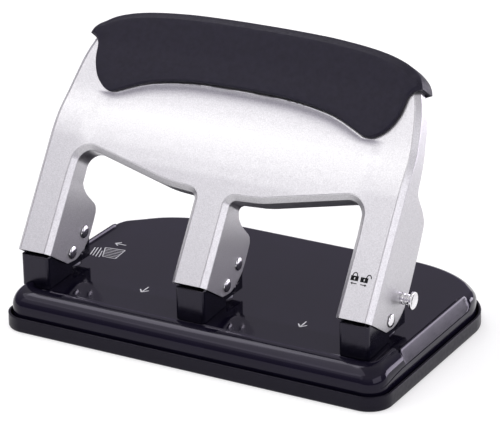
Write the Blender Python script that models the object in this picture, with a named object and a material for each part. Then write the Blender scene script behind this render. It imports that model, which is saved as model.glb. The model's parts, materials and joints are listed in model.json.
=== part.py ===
"""Three hole punch: a long steel lever handle over three punch heads on a pressed base in a chip tray.

Dimensions are in millimetres and angles in degrees; add_node() turns them into metres. +Z is up, the
paper goes in from +Y, and the origin is the centre of the chip tray's footprint on the desk.
"""

import math

import bmesh
import bpy
from mathutils import Matrix, Vector

MM = 0.001
GAP = 0.3

# Hole pattern
HOLE_SPACING = 108.0
PAPER_MARGIN = 12.7
HOLE_RADIUS = 3.5
ROW_CENTRE_X = -7.8
ROW_X = {
    "left": ROW_CENTRE_X - HOLE_SPACING,
    "middle": ROW_CENTRE_X,
    "right": ROW_CENTRE_X + HOLE_SPACING,
}
PAPER_STOP_Y = -36.2
PUNCH_Y = PAPER_STOP_Y + PAPER_MARGIN

# Chip tray
TRAY_HALF_WIDTH = 128.8
TRAY_HALF_DEPTH = 84.5
TRAY_FRONT_RADIUS = 15.0
TRAY_BACK_RADII = (58.0, 44.0)
TRAY_LIP_Z = 9.4
TRAY_FLOOR = 2.0
TRAY_WALL = 1.6

# Base cover
BASE_INSET = 3.0
BASE_FOOT_Z = TRAY_FLOOR + GAP
TABLE_Z = 22.0
CEILING_Z = 19.3
ROLL_RADIUS = 10.0
ROLL_CREST_Z = 23.8
GROOVE_Z = 20.8
GROOVE_Y = -62.0
CREASE_Y = -41.9
RIDGE_CREST_Z = 24.8

# Punch heads
BRACKET_HALF_WIDTH = 9.6
BRACKET_SHEET = 1.2
BRACKET_FRONT_Y = -62.6
BRACKET_REAR_Y = -16.5
BRACKET_TOP_Z = 41.2
BRACKET_LIFT = 0.4
THROAT_TOP_Z = 26.4
GUIDE_RIVET = (-25.7, 29.3)
FLOOR_RIVET_Y = (-56.0, -43.0)

# Handle: t runs up the leg from its bottom front edge, d runs square to it, towards the rear
LEAN = math.radians(33.45)
LEG_FOOT = Vector((0.0, -64.5, 45.3))
UP_LEG = Vector((0.0, math.sin(LEAN), math.cos(LEAN)))
REARWARD = Vector((0.0, math.cos(LEAN), -math.sin(LEAN)))
SHEET = 1.25
FACE_HALF_WIDTH = 8.6
EDGE_BEVEL = 3.0
FACE_OUTER_X = HOLE_SPACING + FACE_HALF_WIDTH
LEG_HALF_WIDTH = FACE_HALF_WIDTH + EDGE_BEVEL
PIVOT_TD = (7.35, 26.1)
DRIVE_TD = (22.1, 33.2)
PRESS_ANGLE = 38.0
PIN_RADIUS = 1.95
LOCK_NECK_RADIUS = 3.35

# Grip
GRIP_FRONT = 3.0
GRIP_BACK_D = 21.5
GRIP_HOLLOW_D = 17.9

# Rivets, and how far a cutter runs past the faces it opens
RIVET_RADIUS = 2.0
RIVET_HOLE_RADIUS = RIVET_RADIUS + GAP
RIVET_HEAD_RADIUS = 4.0
RIVET_HEAD_HEIGHT = 1.1
GUIDE_RIVET_RADIUS = 1.75
CLEAR = 5.0


def handle_point(x, t, d):
    """World position, in millimetres, of handle coordinates; x is measured from the middle leg."""
    return LEG_FOOT + UP_LEG * t + REARWARD * d + Vector((ROW_CENTRE_X + x, 0.0, 0.0))


PIVOT = handle_point(-ROW_CENTRE_X, *PIVOT_TD)
DRIVE = handle_point(-ROW_CENTRE_X, *DRIVE_TD)
CRANK = (DRIVE - PIVOT).length
CRANK_ANGLE = math.degrees(math.atan2(DRIVE.z - PIVOT.z, DRIVE.y - PIVOT.y))
CRANK_END_ANGLE = CRANK_ANGLE - PRESS_ANGLE

# Punches and springs, from the drive pin down
HEAD_TOP_Z = DRIVE.z - PIN_RADIUS - GAP
HEAD_THICKNESS = 0.8
HEAD_RADIUS = 6.0
PUNCH_TIP_Z = THROAT_TOP_Z + 0.4
GUIDE_BOTTOM_Z = THROAT_TOP_Z + 0.1
GUIDE_TOP_Z = 31.2
SPRING_SEAT_Z = 27.9
SPRING_RADIUS = 5.0
SPRING_WIRE_RADIUS = 0.375
SPRING_WIRE_SIDES = 5
SPRING_COILS = 5
SPRING_COIL_STEPS = 16
SEAT_RADIUS = 5.9
DIE_RADIUS = 6.0
DIE_DEPTH = 3.0
GUIDE_FRONT_Y = -33.0
GUIDE_REAR_Y = BRACKET_REAR_Y - GAP


# ---------------------------------------------------------------- scene and materials

def clear_scene():
    for obj in list(bpy.data.objects):
        bpy.data.objects.remove(obj, do_unlink=True)


def make_material(name, colour, roughness, metallic):
    material = bpy.data.materials.new(name)
    material.use_nodes = True
    shader = material.node_tree.nodes["Principled BSDF"]
    shader.inputs["Base Color"].default_value = (*colour, 1.0)
    shader.inputs["Roughness"].default_value = roughness
    shader.inputs["Metallic"].default_value = metallic
    return material


def make_materials():
    return {
        "silver": make_material("silver_finish", (0.62, 0.62, 0.65), 0.38, 0.85),
        "grip": make_material("soft_grip", (0.035, 0.035, 0.045), 0.55, 0.0),
        "gloss": make_material("gloss_black", (0.012, 0.011, 0.016), 0.12, 0.0),
        "tray": make_material("tray_black", (0.02, 0.02, 0.025), 0.5, 0.0),
        "bracket": make_material("bracket_black", (0.025, 0.025, 0.032), 0.35, 0.3),
        "chrome": make_material("bright_steel", (0.75, 0.75, 0.77), 0.18, 1.0),
        "steel": make_material("tool_steel", (0.45, 0.45, 0.46), 0.3, 1.0),
    }


def add_empty(name, place):
    empty = bpy.data.objects.new(name, None)
    empty.location = place * MM
    empty.empty_display_size = 0.01
    bpy.context.collection.objects.link(empty)
    return empty


def add_node(name, bm, material, origin=(0.0, 0.0, 0.0), parent=None):
    """Make an object of a bmesh drawn in world millimetres, with its origin at a given place."""
    bm.normal_update()
    bmesh.ops.recalc_face_normals(bm, faces=bm.faces)
    origin = Vector(origin)
    bm.transform(Matrix.Scale(MM, 4) @ Matrix.Translation(-origin))
    mesh = bpy.data.meshes.new(name)
    bm.to_mesh(mesh)
    bm.free()
    mesh.shade_smooth()
    mesh.set_sharp_from_angle(angle=math.radians(35.0))
    obj = bpy.data.objects.new(name, mesh)
    obj.location = origin * MM
    bpy.context.collection.objects.link(obj)
    if material:
        mesh.materials.append(material)
    if parent:
        obj.location -= parent.location
        obj.parent = parent
    return obj


def add_cutter(name, bm):
    cutter = add_node(name, bm, None)
    cutter.hide_render = True
    cutter.display_type = "WIRE"
    return cutter


def cut(obj, cutter):
    modifier = obj.modifiers.new("cut_" + cutter.name, "BOOLEAN")
    modifier.operation = "DIFFERENCE"
    modifier.solver = "EXACT"
    modifier.object = cutter


# ---------------------------------------------------------------- shape helpers

def interpolate(table, value):
    """Straight-line interpolation in a short table of (key, value) pairs."""
    if value <= table[0][0]:
        return table[0][1]
    for (k0, v0), (k1, v1) in zip(table, table[1:]):
        if value <= k1:
            return v0 + (v1 - v0) * (value - k0) / (k1 - k0)
    return table[-1][1]


def arc(centre, radii, start, stop, steps):
    """Points on an ellipse's arc, ends included; angles in degrees."""
    points = []
    for i in range(steps + 1):
        angle = math.radians(start + (stop - start) * i / steps)
        points.append((centre[0] + radii[0] * math.cos(angle), centre[1] + radii[1] * math.sin(angle)))
    return points


def fillet(before, corner, after, radius, steps):
    """Arc that rounds a corner between two straight runs."""
    corner = Vector(corner)
    a = (Vector(before) - corner).normalized()
    b = (Vector(after) - corner).normalized()
    half = a.angle(b) / 2
    centre = corner + (a + b).normalized() * (radius / math.sin(half))
    start = corner + a * (radius / math.tan(half)) - centre
    stop = corner + b * (radius / math.tan(half)) - centre
    turn = start.angle_signed(stop)
    points = []
    for i in range(steps + 1):
        angle = -turn * i / steps
        spoke = Matrix.Rotation(angle, 2) @ start
        points.append(tuple(centre + spoke))
    return points


def spline(points, steps):
    """Catmull-Rom curve through the given points, which it keeps."""
    padded = [points[0], *points, points[-1]]
    curve = [points[0]]
    for p0, p1, p2, p3 in zip(padded, padded[1:], padded[2:], padded[3:]):
        for i in range(1, steps + 1):
            s = i / steps
            curve.append(tuple(
                0.5 * (2 * b + (c - a) * s + (2 * a - 5 * b + 4 * c - d) * s * s
                       + (3 * b - a - 3 * c + d) * s ** 3)
                for a, b, c, d in zip(p0, p1, p2, p3)))
    return curve


def offset_chain(points, distance):
    """Shift an open chain of 2-D points to its left by a distance, mitred at each point."""
    shifted = []
    last = len(points) - 1
    for i, point in enumerate(points):
        here = Vector(point)
        before = (here - Vector(points[i - 1])).normalized() if i else None
        after = (Vector(points[i + 1]) - here).normalized() if i < last else None
        before = before or after
        after = after or before
        n0 = Vector((-before.y, before.x))
        n1 = Vector((-after.y, after.x))
        mitre = (n0 + n1).normalized()
        shifted.append(tuple(here + mitre * (distance / mitre.dot(n0))))
    return shifted


def mirrored(points):
    """The points of a right half, carried on into the left half; the last one lies on x = 0."""
    return points + [(-x, y) for x, y in reversed(points[:-1])]


def bridge(bm, lower, upper, closed=True):
    """Quads between two rows of vertices."""
    count = len(lower)
    for i in range(count if closed else count - 1):
        j = (i + 1) % count
        bm.faces.new((lower[i], lower[j], upper[j], upper[i]))


def loft(rows, capped=True):
    """Solid through closed rows of 3-D points; without caps the last row joins the first."""
    bm = bmesh.new()
    rings = [[bm.verts.new(point) for point in row] for row in rows]
    for lower, upper in zip(rings, rings[1:]):
        bridge(bm, lower, upper)
    if capped:
        bm.faces.new(rings[0])
        bm.faces.new(rings[-1])
    else:
        bridge(bm, rings[-1], rings[0])
    return bm


def turned(profile, segments, place, axis="Z", capped=True):
    """Round solid of (radius, height) pairs about an axis through a place."""
    place = Vector(place)
    rows = []
    for radius, height in profile:
        row = []
        for i in range(segments):
            angle = 2 * math.pi * i / segments
            a = radius * math.cos(angle)
            b = radius * math.sin(angle)
            row.append(place + Vector((a, b, height) if axis == "Z" else (height, a, b)))
        rows.append(row)
    return loft(rows, capped)


def prism(outline, x0, x1):
    """Solid of a (y, z) outline, extruded along X."""
    return loft([[(x, y, z) for y, z in outline] for x in (x0, x1)])


def merged(parts):
    """One bmesh of several, for a cutter with separate bodies."""
    result = bmesh.new()
    for part in parts:
        scratch = bpy.data.meshes.new("scratch")
        bmesh.ops.recalc_face_normals(part, faces=part.faces)
        part.to_mesh(scratch)
        part.free()
        result.from_mesh(scratch)
        bpy.data.meshes.remove(scratch)
    return result


# ---------------------------------------------------------------- tray and base

FRONT_STATIONS = (0.4, 0.8)
CORNER_STEPS = 5
SIDE_STATIONS = (0.12, 0.3, 0.5, 0.7, 0.85)
BACK_STEPS = 11


def plan_half(half_width, front, back, front_radius, back_radii):
    """Right half of a rounded D outline, from the front centre round to the back centre."""
    straight = half_width - front_radius
    side_start = front + front_radius
    side_end = back - back_radii[1]
    points = [(straight * share, front) for share in FRONT_STATIONS]
    points += arc((straight, side_start), (front_radius, front_radius), -90, 0, CORNER_STEPS)
    points += [(half_width, side_start + (side_end - side_start) * share) for share in SIDE_STATIONS]
    points += arc((half_width - back_radii[0], side_end), back_radii, 0, 90, BACK_STEPS)
    return points


def plan_weights():
    """Share of the front, side and back profile at each station of plan_half()."""
    weights = [(1.0, 0.0, 0.0)] * len(FRONT_STATIONS)
    for i in range(CORNER_STEPS + 1):
        share = i / CORNER_STEPS
        weights.append((1.0 - share, share, 0.0))
    weights += [(0.0, 1.0, 0.0)] * len(SIDE_STATIONS)
    for i in range(BACK_STEPS + 1):
        share = min(1.0, i / 3)
        weights.append((0.0, 1.0 - share, share))
    return weights


def plan_row(insets, heights, outline):
    """Closed row round the D outline; insets and heights are given for front, sides and back."""
    half_width, front, back, front_radius, back_radii = outline
    in_front, in_side, in_back = insets
    half = plan_half(
        half_width - in_side,
        front + in_front,
        back - in_back,
        max(front_radius - max(in_front, in_side) * 0.9, 1.5),
        (back_radii[0] - in_back * 0.5, back_radii[1] - in_back * 0.5))
    right = []
    for (x, y), weights in zip(half, plan_weights()):
        right.append((x, y, sum(h * w for h, w in zip(heights, weights))))
    left = [(-x, y, z) for x, y, z in reversed(right)]
    return [(0.0, front + in_front, heights[0]), *right, (0.0, back - in_back, heights[2]), *left]


def make_chip_tray(materials, parent):
    outline = (TRAY_HALF_WIDTH, -TRAY_HALF_DEPTH, TRAY_HALF_DEPTH, TRAY_FRONT_RADIUS, TRAY_BACK_RADII)
    section = [
        (1.0, 0.0),
        (0.0, 1.0),
        (0.0, TRAY_LIP_Z - 0.5),
        (0.5, TRAY_LIP_Z),
        (TRAY_WALL - 0.4, TRAY_LIP_Z),
        (TRAY_WALL, TRAY_LIP_Z - 0.4),
        (TRAY_WALL, TRAY_FLOOR),
    ]
    rows = [plan_row((inset,) * 3, (z,) * 3, outline) for inset, z in section]
    return add_node("chip_tray", loft(rows), materials["tray"], parent=parent)


def base_section():
    """Rows of the base cover as (insets, heights) for front, sides and back, from the foot up and over."""
    rows = [((0.0, 0.0, 0.0), (BASE_FOOT_Z,) * 3)]
    front_centre = (ROLL_RADIUS + 0.5, ROLL_CREST_Z - ROLL_RADIUS)
    front = arc(front_centre, (ROLL_RADIUS, ROLL_RADIUS), 180, 90, 5)
    side = [(0.0, 14.0), (0.2, 17.0), (0.8, 20.5), (1.4, 23.8), (2.0, RIDGE_CREST_Z), (2.8, RIDGE_CREST_Z)]
    back = arc((8.0, TABLE_Z - 8.0), (8.0, 8.0), 180, 90, 5)
    front_y = -TRAY_HALF_DEPTH + BASE_INSET
    front += [
        (14.0, ROLL_CREST_Z - 0.4),
        (17.0, GROOVE_Z + 1.4),
        (18.3, GROOVE_Z),
        (GROOVE_Y - front_y, GROOVE_Z),
        (CREASE_Y - front_y, TABLE_Z),
    ]
    side += [(3.6, 24.0), (4.8, 22.6), (5.6, TABLE_Z), (6.2, TABLE_Z), (6.8, TABLE_Z)]
    back += [(8.6 + 0.6 * i, TABLE_Z) for i in range(5)]
    for (f_in, f_z), (s_in, s_z), (b_in, b_z) in zip(front, side, back):
        rows.append(((f_in, s_in, b_in), (f_z, s_z, b_z)))
    return rows


def strip_z(y):
    """Height of the sloping strip behind the front groove, level with the table behind the crease."""
    share = min(1.0, (y - GROOVE_Y) / (CREASE_Y - GROOVE_Y))
    return GROOVE_Z + (TABLE_Z - GROOVE_Z) * share


def left_seat():
    """Cutter that opens the left ridge where the left bracket stands and the paper passes under it."""
    front = BRACKET_FRONT_Y - 0.5
    rear = BRACKET_REAR_Y + 2.0
    floor = 0.05
    outline = [
        (front, strip_z(front) + floor),
        (CREASE_Y, TABLE_Z + floor),
        (rear, TABLE_Z + floor),
        (rear, RIDGE_CREST_Z + CLEAR),
        (front, RIDGE_CREST_Z + CLEAR),
    ]
    outer_x = ROW_X["left"] - BRACKET_HALF_WIDTH - 2.0
    inner_x = ROW_X["left"] + BRACKET_HALF_WIDTH + 0.5
    return prism(outline, outer_x, inner_x)


def make_base_cover(materials):
    half_width = TRAY_HALF_WIDTH - BASE_INSET
    depth = TRAY_HALF_DEPTH - BASE_INSET
    radii = (TRAY_BACK_RADII[0] - BASE_INSET, TRAY_BACK_RADII[1] - BASE_INSET)
    outline = (half_width, -depth, depth, TRAY_FRONT_RADIUS - BASE_INSET, radii)
    inner = [(4.6, CEILING_Z), (1.6, 13.0), (1.6, BASE_FOOT_Z)]
    rows = [plan_row((inset,) * 3, (z,) * 3, outline) for inset, z in inner]
    rows += [plan_row(insets, heights, outline) for insets, heights in base_section()]
    base = add_node("base_cover", loft(rows), materials["gloss"])
    bottom = CEILING_Z - CLEAR
    top = TABLE_Z + CLEAR
    die_seat = DIE_RADIUS + GAP
    holes = []
    for x in ROW_X.values():
        holes.append(turned([(die_seat, bottom), (die_seat, top)], 24, (x, PUNCH_Y, 0.0)))
        for y in FLOOR_RIVET_Y:
            profile = [(RIVET_HOLE_RADIUS, bottom), (RIVET_HOLE_RADIUS, top)]
            holes.append(turned(profile, 16, (x, y, 0.0)))
    cut(base, add_cutter("base_holes", merged(holes)))
    cut(base, add_cutter("left_bracket_seat", left_seat()))
    return base


def make_die_ring(side, materials):
    profile = [
        (DIE_RADIUS, TABLE_Z - DIE_DEPTH),
        (DIE_RADIUS, TABLE_Z),
        (HOLE_RADIUS + 0.15, TABLE_Z),
        (HOLE_RADIUS + 0.35, TABLE_Z - DIE_DEPTH),
    ]
    bm = turned(profile, 24, (ROW_X[side], PUNCH_Y, 0.0), capped=False)
    return add_node("die_ring_" + side, bm, materials["steel"])


# ---------------------------------------------------------------- punch heads

def crank_point(radius, angle):
    """(y, z) at a radius and angle about the pivot axis."""
    angle = math.radians(angle)
    return (PIVOT.y + radius * math.cos(angle), PIVOT.z + radius * math.sin(angle))


def slot_outline():
    """Keyhole slot for the drive pin: an arc about the pivot with a round pocket at its lower end.

    It runs from the rear of the open top, down, round the pocket and up the front of the slot.
    """
    half = PIN_RADIUS + 0.4
    pocket = LOCK_NECK_RADIUS + GAP
    outer = CRANK + half
    inner = CRANK - half
    rise = BRACKET_TOP_Z - PIVOT.z
    outer_top = math.degrees(math.asin(rise / outer))
    inner_top = math.degrees(math.asin(rise / inner))
    centre = crank_point(CRANK, CRANK_END_ANGLE)
    neck_angle = CRANK_END_ANGLE + math.degrees(math.sqrt(pocket ** 2 - half ** 2) / CRANK)
    rear = [crank_point(outer, outer_top + (neck_angle - outer_top) * i / 3) for i in range(4)]
    front = [crank_point(inner, neck_angle + (inner_top - neck_angle) * i / 3) for i in range(4)]
    start = math.degrees(math.atan2(rear[-1][1] - centre[1], rear[-1][0] - centre[0]))
    stop = math.degrees(math.atan2(front[0][1] - centre[1], front[0][0] - centre[0])) - 360.0
    return rear[:-1] + arc(centre, (pocket, pocket), start, stop, 12) + front[1:]


def bracket_outline():
    """Side view of a bracket: sloping foot, paper stop, throat, rear edge and slotted top."""
    foot = [(y, strip_z(y) + BRACKET_LIFT) for y in (BRACKET_FRONT_Y, CREASE_Y, PAPER_STOP_Y)]
    rear = [(PAPER_STOP_Y, THROAT_TOP_Z), (BRACKET_REAR_Y, THROAT_TOP_Z), (BRACKET_REAR_Y, BRACKET_TOP_Z)]
    return foot + rear + slot_outline() + [(BRACKET_FRONT_Y, BRACKET_TOP_Z)]


def round_front_edges(bm, radius):
    corners = [
        edge for edge in bm.edges
        if all(abs(vert.co.y - BRACKET_FRONT_Y) < 1e-4 for vert in edge.verts)
        and abs(edge.verts[0].co.x - edge.verts[1].co.x) < 1e-4
    ]
    bmesh.ops.bevel(bm, geom=corners, offset=radius, segments=3, affect="EDGES", profile=0.5)


def make_punch_bracket(side, materials):
    centre = ROW_X[side]
    inside = BRACKET_HALF_WIDTH - BRACKET_SHEET
    bm = prism(bracket_outline(), centre - BRACKET_HALF_WIDTH, centre + BRACKET_HALF_WIDTH)
    round_front_edges(bm, 2.0)
    bracket = add_node("punch_bracket_" + side, bm, materials["bracket"])
    floor = BRACKET_LIFT + BRACKET_SHEET
    stop_inner = PAPER_STOP_Y - BRACKET_SHEET
    front_inner = BRACKET_FRONT_Y + BRACKET_SHEET
    throat = THROAT_TOP_Z - 0.6
    hollow = [
        (front_inner, strip_z(front_inner) + floor),
        (CREASE_Y, TABLE_Z + floor),
        (stop_inner, TABLE_Z + floor),
        (stop_inner, throat),
        (BRACKET_REAR_Y + CLEAR, throat),
        (BRACKET_REAR_Y + CLEAR, BRACKET_TOP_Z + CLEAR),
        (front_inner, BRACKET_TOP_Z + CLEAR),
    ]
    reach = BRACKET_HALF_WIDTH + CLEAR
    guide_hole = GUIDE_RIVET_RADIUS + GAP
    holes = [
        turned([(RIVET_HOLE_RADIUS, -reach), (RIVET_HOLE_RADIUS, reach)], 20, (centre, PIVOT.y, PIVOT.z), "X"),
        turned([(guide_hole, -reach), (guide_hole, reach)], 16, (centre, *GUIDE_RIVET), "X"),
    ]
    for y in FLOOR_RIVET_Y:
        profile = [(RIVET_HOLE_RADIUS, GROOVE_Z - CLEAR), (RIVET_HOLE_RADIUS, TABLE_Z + CLEAR)]
        holes.append(turned(profile, 16, (centre, y, 0.0)))
    cut(bracket, add_cutter("bracket_hollow_" + side, prism(hollow, centre - inside, centre + inside)))
    cut(bracket, add_cutter("bracket_holes_" + side, merged(holes)))
    return bracket


def make_guide_block(side, materials):
    centre = ROW_X[side]
    half = BRACKET_HALF_WIDTH - BRACKET_SHEET - GAP
    outline = [
        (GUIDE_FRONT_Y, GUIDE_BOTTOM_Z),
        (GUIDE_REAR_Y, GUIDE_BOTTOM_Z),
        (GUIDE_REAR_Y, GUIDE_TOP_Z),
        (GUIDE_FRONT_Y, GUIDE_TOP_Z),
    ]
    block = add_node("guide_block_" + side, prism(outline, centre - half, centre + half), materials["steel"])
    bore_radius = HOLE_RADIUS + GAP
    bore = [
        (bore_radius, GUIDE_BOTTOM_Z - CLEAR),
        (bore_radius, SPRING_SEAT_Z),
        (SEAT_RADIUS, SPRING_SEAT_Z),
        (SEAT_RADIUS, GUIDE_TOP_Z + CLEAR),
    ]
    cut(block, add_cutter("guide_bore_" + side, turned(bore, 24, (centre, PUNCH_Y, 0.0))))
    return block


def make_guide_rivets(side, materials):
    """Flush rivets that hold the guide block between the bracket's cheeks."""
    inner = BRACKET_HALF_WIDTH - BRACKET_SHEET
    for label, sign in (("outer", 1.0), ("inner", -1.0)):
        profile = [
            (GUIDE_RIVET_RADIUS, inner + 0.05),
            (GUIDE_RIVET_RADIUS, inner + BRACKET_SHEET),
            (GUIDE_RIVET_RADIUS - 0.45, inner + BRACKET_SHEET + 0.25),
        ]
        profile = [(radius, sign * height) for radius, height in profile]
        bm = turned(profile, 16, (ROW_X[side], *GUIDE_RIVET), "X")
        add_node("guide_rivet_" + side + "_" + label, bm, materials["bracket"])


def make_bracket_rivets(side, materials):
    """Rivets through the bracket's floor and the base cover, headed at both ends."""
    for label, y in zip(("front", "rear"), FLOOR_RIVET_Y):
        seat = strip_z(y) + BRACKET_LIFT + BRACKET_SHEET + 0.5
        under = CEILING_Z - GAP
        profile = [
            (2.6, under - 1.2),
            (3.2, under - 0.8),
            (3.2, under),
            (RIVET_RADIUS, under),
            (RIVET_RADIUS, seat),
            (3.4, seat),
            (3.2, seat + 0.7),
            (2.0, seat + 1.2),
        ]
        bm = turned(profile, 16, (ROW_X[side], y, 0.0))
        add_node("bracket_rivet_" + side + "_" + label, bm, materials["steel"])


def make_punch_pin(side, materials):
    """Punch with a flanged head; it slides along its own axis."""
    place = Vector((ROW_X[side], PUNCH_Y, 0.0))
    slide = add_empty("punch_slide_" + side, place)
    profile = [
        (HOLE_RADIUS, PUNCH_TIP_Z),
        (HOLE_RADIUS, HEAD_TOP_Z - HEAD_THICKNESS),
        (HEAD_RADIUS, HEAD_TOP_Z - HEAD_THICKNESS),
        (HEAD_RADIUS, HEAD_TOP_Z - 0.2),
        (HEAD_RADIUS - 0.3, HEAD_TOP_Z),
    ]
    bm = turned(profile, 24, place)
    add_node("punch_pin_" + side, bm, materials["steel"], origin=place, parent=slide)


def make_return_spring(side, materials):
    """Coil spring between the guide block's seat and the punch's head."""
    bottom = SPRING_SEAT_Z + GAP + SPRING_WIRE_RADIUS
    top = HEAD_TOP_Z - HEAD_THICKNESS - GAP - SPRING_WIRE_RADIUS
    steps = SPRING_COILS * SPRING_COIL_STEPS
    rows = []
    for i in range(steps + 1):
        angle = 2 * math.pi * SPRING_COILS * i / steps
        centre = bottom + (top - bottom) * i / steps
        outward = Vector((math.cos(angle), math.sin(angle), 0.0))
        row = []
        for k in range(SPRING_WIRE_SIDES):
            turn = 2 * math.pi * k / SPRING_WIRE_SIDES
            radius = SPRING_RADIUS + SPRING_WIRE_RADIUS * math.cos(turn)
            height = centre + SPRING_WIRE_RADIUS * math.sin(turn)
            row.append(Vector((ROW_X[side], PUNCH_Y, height)) + outward * radius)
        rows.append(row)
    add_node("return_spring_" + side, loft(rows), materials["steel"])


# ---------------------------------------------------------------- handle

OUTER_DEPTH = [
    (0.0, 25.0), (5.0, 33.3), (10.0, 37.0), (15.0, 39.4), (20.0, 40.8), (28.0, 41.0), (45.0, 40.1),
    (67.0, 37.8), (72.0, 33.2), (81.0, 19.4), (84.5, 18.2), (124.0, 17.0), (135.0, 15.0),
]
INNER_DEPTH = [
    (0.0, 25.0), (5.0, 33.3), (10.0, 37.0), (15.0, 39.4), (20.0, 40.8), (28.0, 41.0), (36.0, 40.5),
    (40.0, 38.0), (44.0, 24.0), (49.0, 17.0), (56.0, 16.0),
]
PANEL_SET_BACK = [
    (75.0, 0.0), (82.0, 0.5), (90.0, 1.7), (97.0, 3.2), (104.0, 4.2), (112.0, 4.7), (124.0, 5.2), (135.0, 5.7),
]
LEG_TOP = 75.0
SHELL_TOP = [(107.7, 135.0), (104.4, 139.4), (98.2, 144.0), (86.0, 148.5), (46.0, 153.8), (0.0, 154.6)]


def shell_side():
    """Outer edge of the front face, from the right leg's foot over the top to the left leg's foot."""
    leg = [(FACE_OUTER_X, t) for t, depth in OUTER_DEPTH if t < LEG_TOP]
    bend = [(FACE_OUTER_X, LEG_TOP), (FACE_OUTER_X - 0.8, 97.0), (111.8, 122.0), SHELL_TOP[0]]
    shoulder = spline(bend, 3)
    return mirrored(leg + shoulder + spline(SHELL_TOP, 2)[1:])


def window_side(sign):
    """Edge of the front face round the left (-1) or right (1) window, from its left foot to its right."""
    window_foot = 49.0
    leg = [t for t, depth in INNER_DEPTH if t <= window_foot]
    outer_x = HOLE_SPACING - FACE_HALF_WIDTH
    inner_x = FACE_HALF_WIDTH + 0.2
    outer_corner = (outer_x - 1.0, 73.6)
    top_bend = (32.0, 58.4)
    inner_corner = (inner_x, 56.9)
    points = [(outer_x, t) for t in leg]
    points += fillet((outer_x, window_foot), outer_corner, top_bend, 12.0, 6)
    points += fillet(outer_corner, top_bend, inner_corner, 60.0, 2)
    points += fillet(top_bend, inner_corner, (inner_x, 0.0), 7.0, 4)
    points += [(inner_x, t) for t in reversed(leg) if t < window_foot]
    if sign > 0:
        return points[::-1]
    return [(-x, t) for x, t in points]


def chain_rows(bm, chain, depth_table):
    """Six rows of vertices in (x, t, d): front face, bevel, flange outside and inside, and back again."""
    mitre = (math.sqrt(2.0) - 1.0) * SHEET
    outer = offset_chain(chain, -EDGE_BEVEL)
    inner = offset_chain(chain, SHEET - EDGE_BEVEL)
    panel = offset_chain(chain, mitre)
    depths = [interpolate(depth_table, t) for x, t in chain]
    sections = [
        (chain, [0.0] * len(chain)),
        (outer, [EDGE_BEVEL] * len(chain)),
        (outer, depths),
        (inner, depths),
        (inner, [EDGE_BEVEL + mitre] * len(chain)),
        (panel, [SHEET] * len(chain)),
    ]
    rows = [[bm.verts.new((x, t, d)) for (x, t), d in zip(points, ds)] for points, ds in sections]
    for lower, upper in zip(rows, rows[1:]):
        bridge(bm, lower, upper, closed=False)
    return rows


def bend_panel(bm, front_limit):
    """Set the upper panel back: cut it across at each bend, then move its front part rearwards."""
    bm.normal_update()
    bmesh.ops.triangulate(bm, faces=bm.faces)
    for t, set_back in PANEL_SET_BACK:
        geometry = [*bm.verts, *bm.edges, *bm.faces]
        bmesh.ops.bisect_plane(bm, geom=geometry, plane_co=(0.0, t, 0.0), plane_no=(0.0, 1.0, 0.0), dist=0.05)
    for vert in bm.verts:
        x, t, d = vert.co
        if d < front_limit:
            d += interpolate(PANEL_SET_BACK, t)
        vert.co = handle_point(x, t, d)


def make_handle_shell(materials, parent):
    bm = bmesh.new()
    outside = chain_rows(bm, shell_side(), OUTER_DEPTH)
    left = chain_rows(bm, window_side(-1), INNER_DEPTH)
    right = chain_rows(bm, window_side(1), INNER_DEPTH)
    chains = (outside, left, right)
    bm.faces.new([vert for chain in chains for vert in chain[0]])
    bm.faces.new([vert for chain in chains for vert in chain[-1]])
    for chain, following in zip(chains, (left, right, outside)):
        end = [row[-1] for row in chain]
        start = [row[0] for row in following]
        bm.faces.new(end + start[::-1])
    bend_panel(bm, EDGE_BEVEL + 1.0)
    shell = add_node("handle_shell", bm, materials["silver"], origin=PIVOT, parent=parent)
    reach = LEG_HALF_WIDTH + CLEAR
    pin = PIN_RADIUS + GAP
    neck = LOCK_NECK_RADIUS + GAP
    holes = []
    for side, x in ROW_X.items():
        profile = [(RIVET_HOLE_RADIUS, -reach), (RIVET_HOLE_RADIUS, reach)]
        holes.append(turned(profile, 20, (x, PIVOT.y, PIVOT.z), "X"))
        profile = [(pin, -reach), (pin, reach)]
        if side == "right":
            profile = [(pin, -reach), (pin, 0.0), (neck, 0.0), (neck, reach)]
        holes.append(turned(profile, 20, (x, DRIVE.y, DRIVE.z), "X"))
    cut(shell, add_cutter("handle_holes", merged(holes)))


def grip_outline():
    """Front view of the grip: waved lower edge, pointed ends and arched top."""
    lower = [(0.0, 120.4), (29.0, 119.8), (58.7, 116.0), (75.0, 110.3), (86.4, 106.0)]
    rise = [(86.4, 106.0), (96.0, 110.6), (102.6, 121.0), (104.2, 132.0), (109.8, 137.6)]
    top = [(114.2, 139.8), (107.8, 146.5), (99.6, 151.8), (87.3, 155.8), (46.0, 160.8), (0.0, 161.6)]
    half = spline(lower, 2)[:-1] + spline(rise, 3) + spline(top, 2)
    return half + [(-x, t) for x, t in reversed(half[1:-1])]


def make_handle_grip(materials, parent):
    outline = grip_outline()
    bm = loft([[(x, t, d) for x, t in outline] for d in (-GRIP_FRONT, GRIP_BACK_D)])
    bend_panel(bm, 0.0)
    grip = add_node("handle_grip", bm, materials["grip"], origin=PIVOT, parent=parent)
    side = [point for point in offset_chain(shell_side(), -EDGE_BEVEL - GAP) if point[1] > 90.0]
    bm = loft([[(x, t, d) for x, t in side] for d in (-GAP, GRIP_HOLLOW_D)])
    bend_panel(bm, 0.0)
    cut(grip, add_cutter("grip_hollow", bm))


def rivet_profile(half_length, radius):
    """Shaft with a low domed head at both ends, along X."""
    half = [
        (radius, half_length),
        (RIVET_HEAD_RADIUS, half_length),
        (RIVET_HEAD_RADIUS * 0.94, half_length + RIVET_HEAD_HEIGHT * 0.55),
        (RIVET_HEAD_RADIUS * 0.6, half_length + RIVET_HEAD_HEIGHT),
    ]
    return [(r, -x) for r, x in reversed(half)] + half


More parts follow.
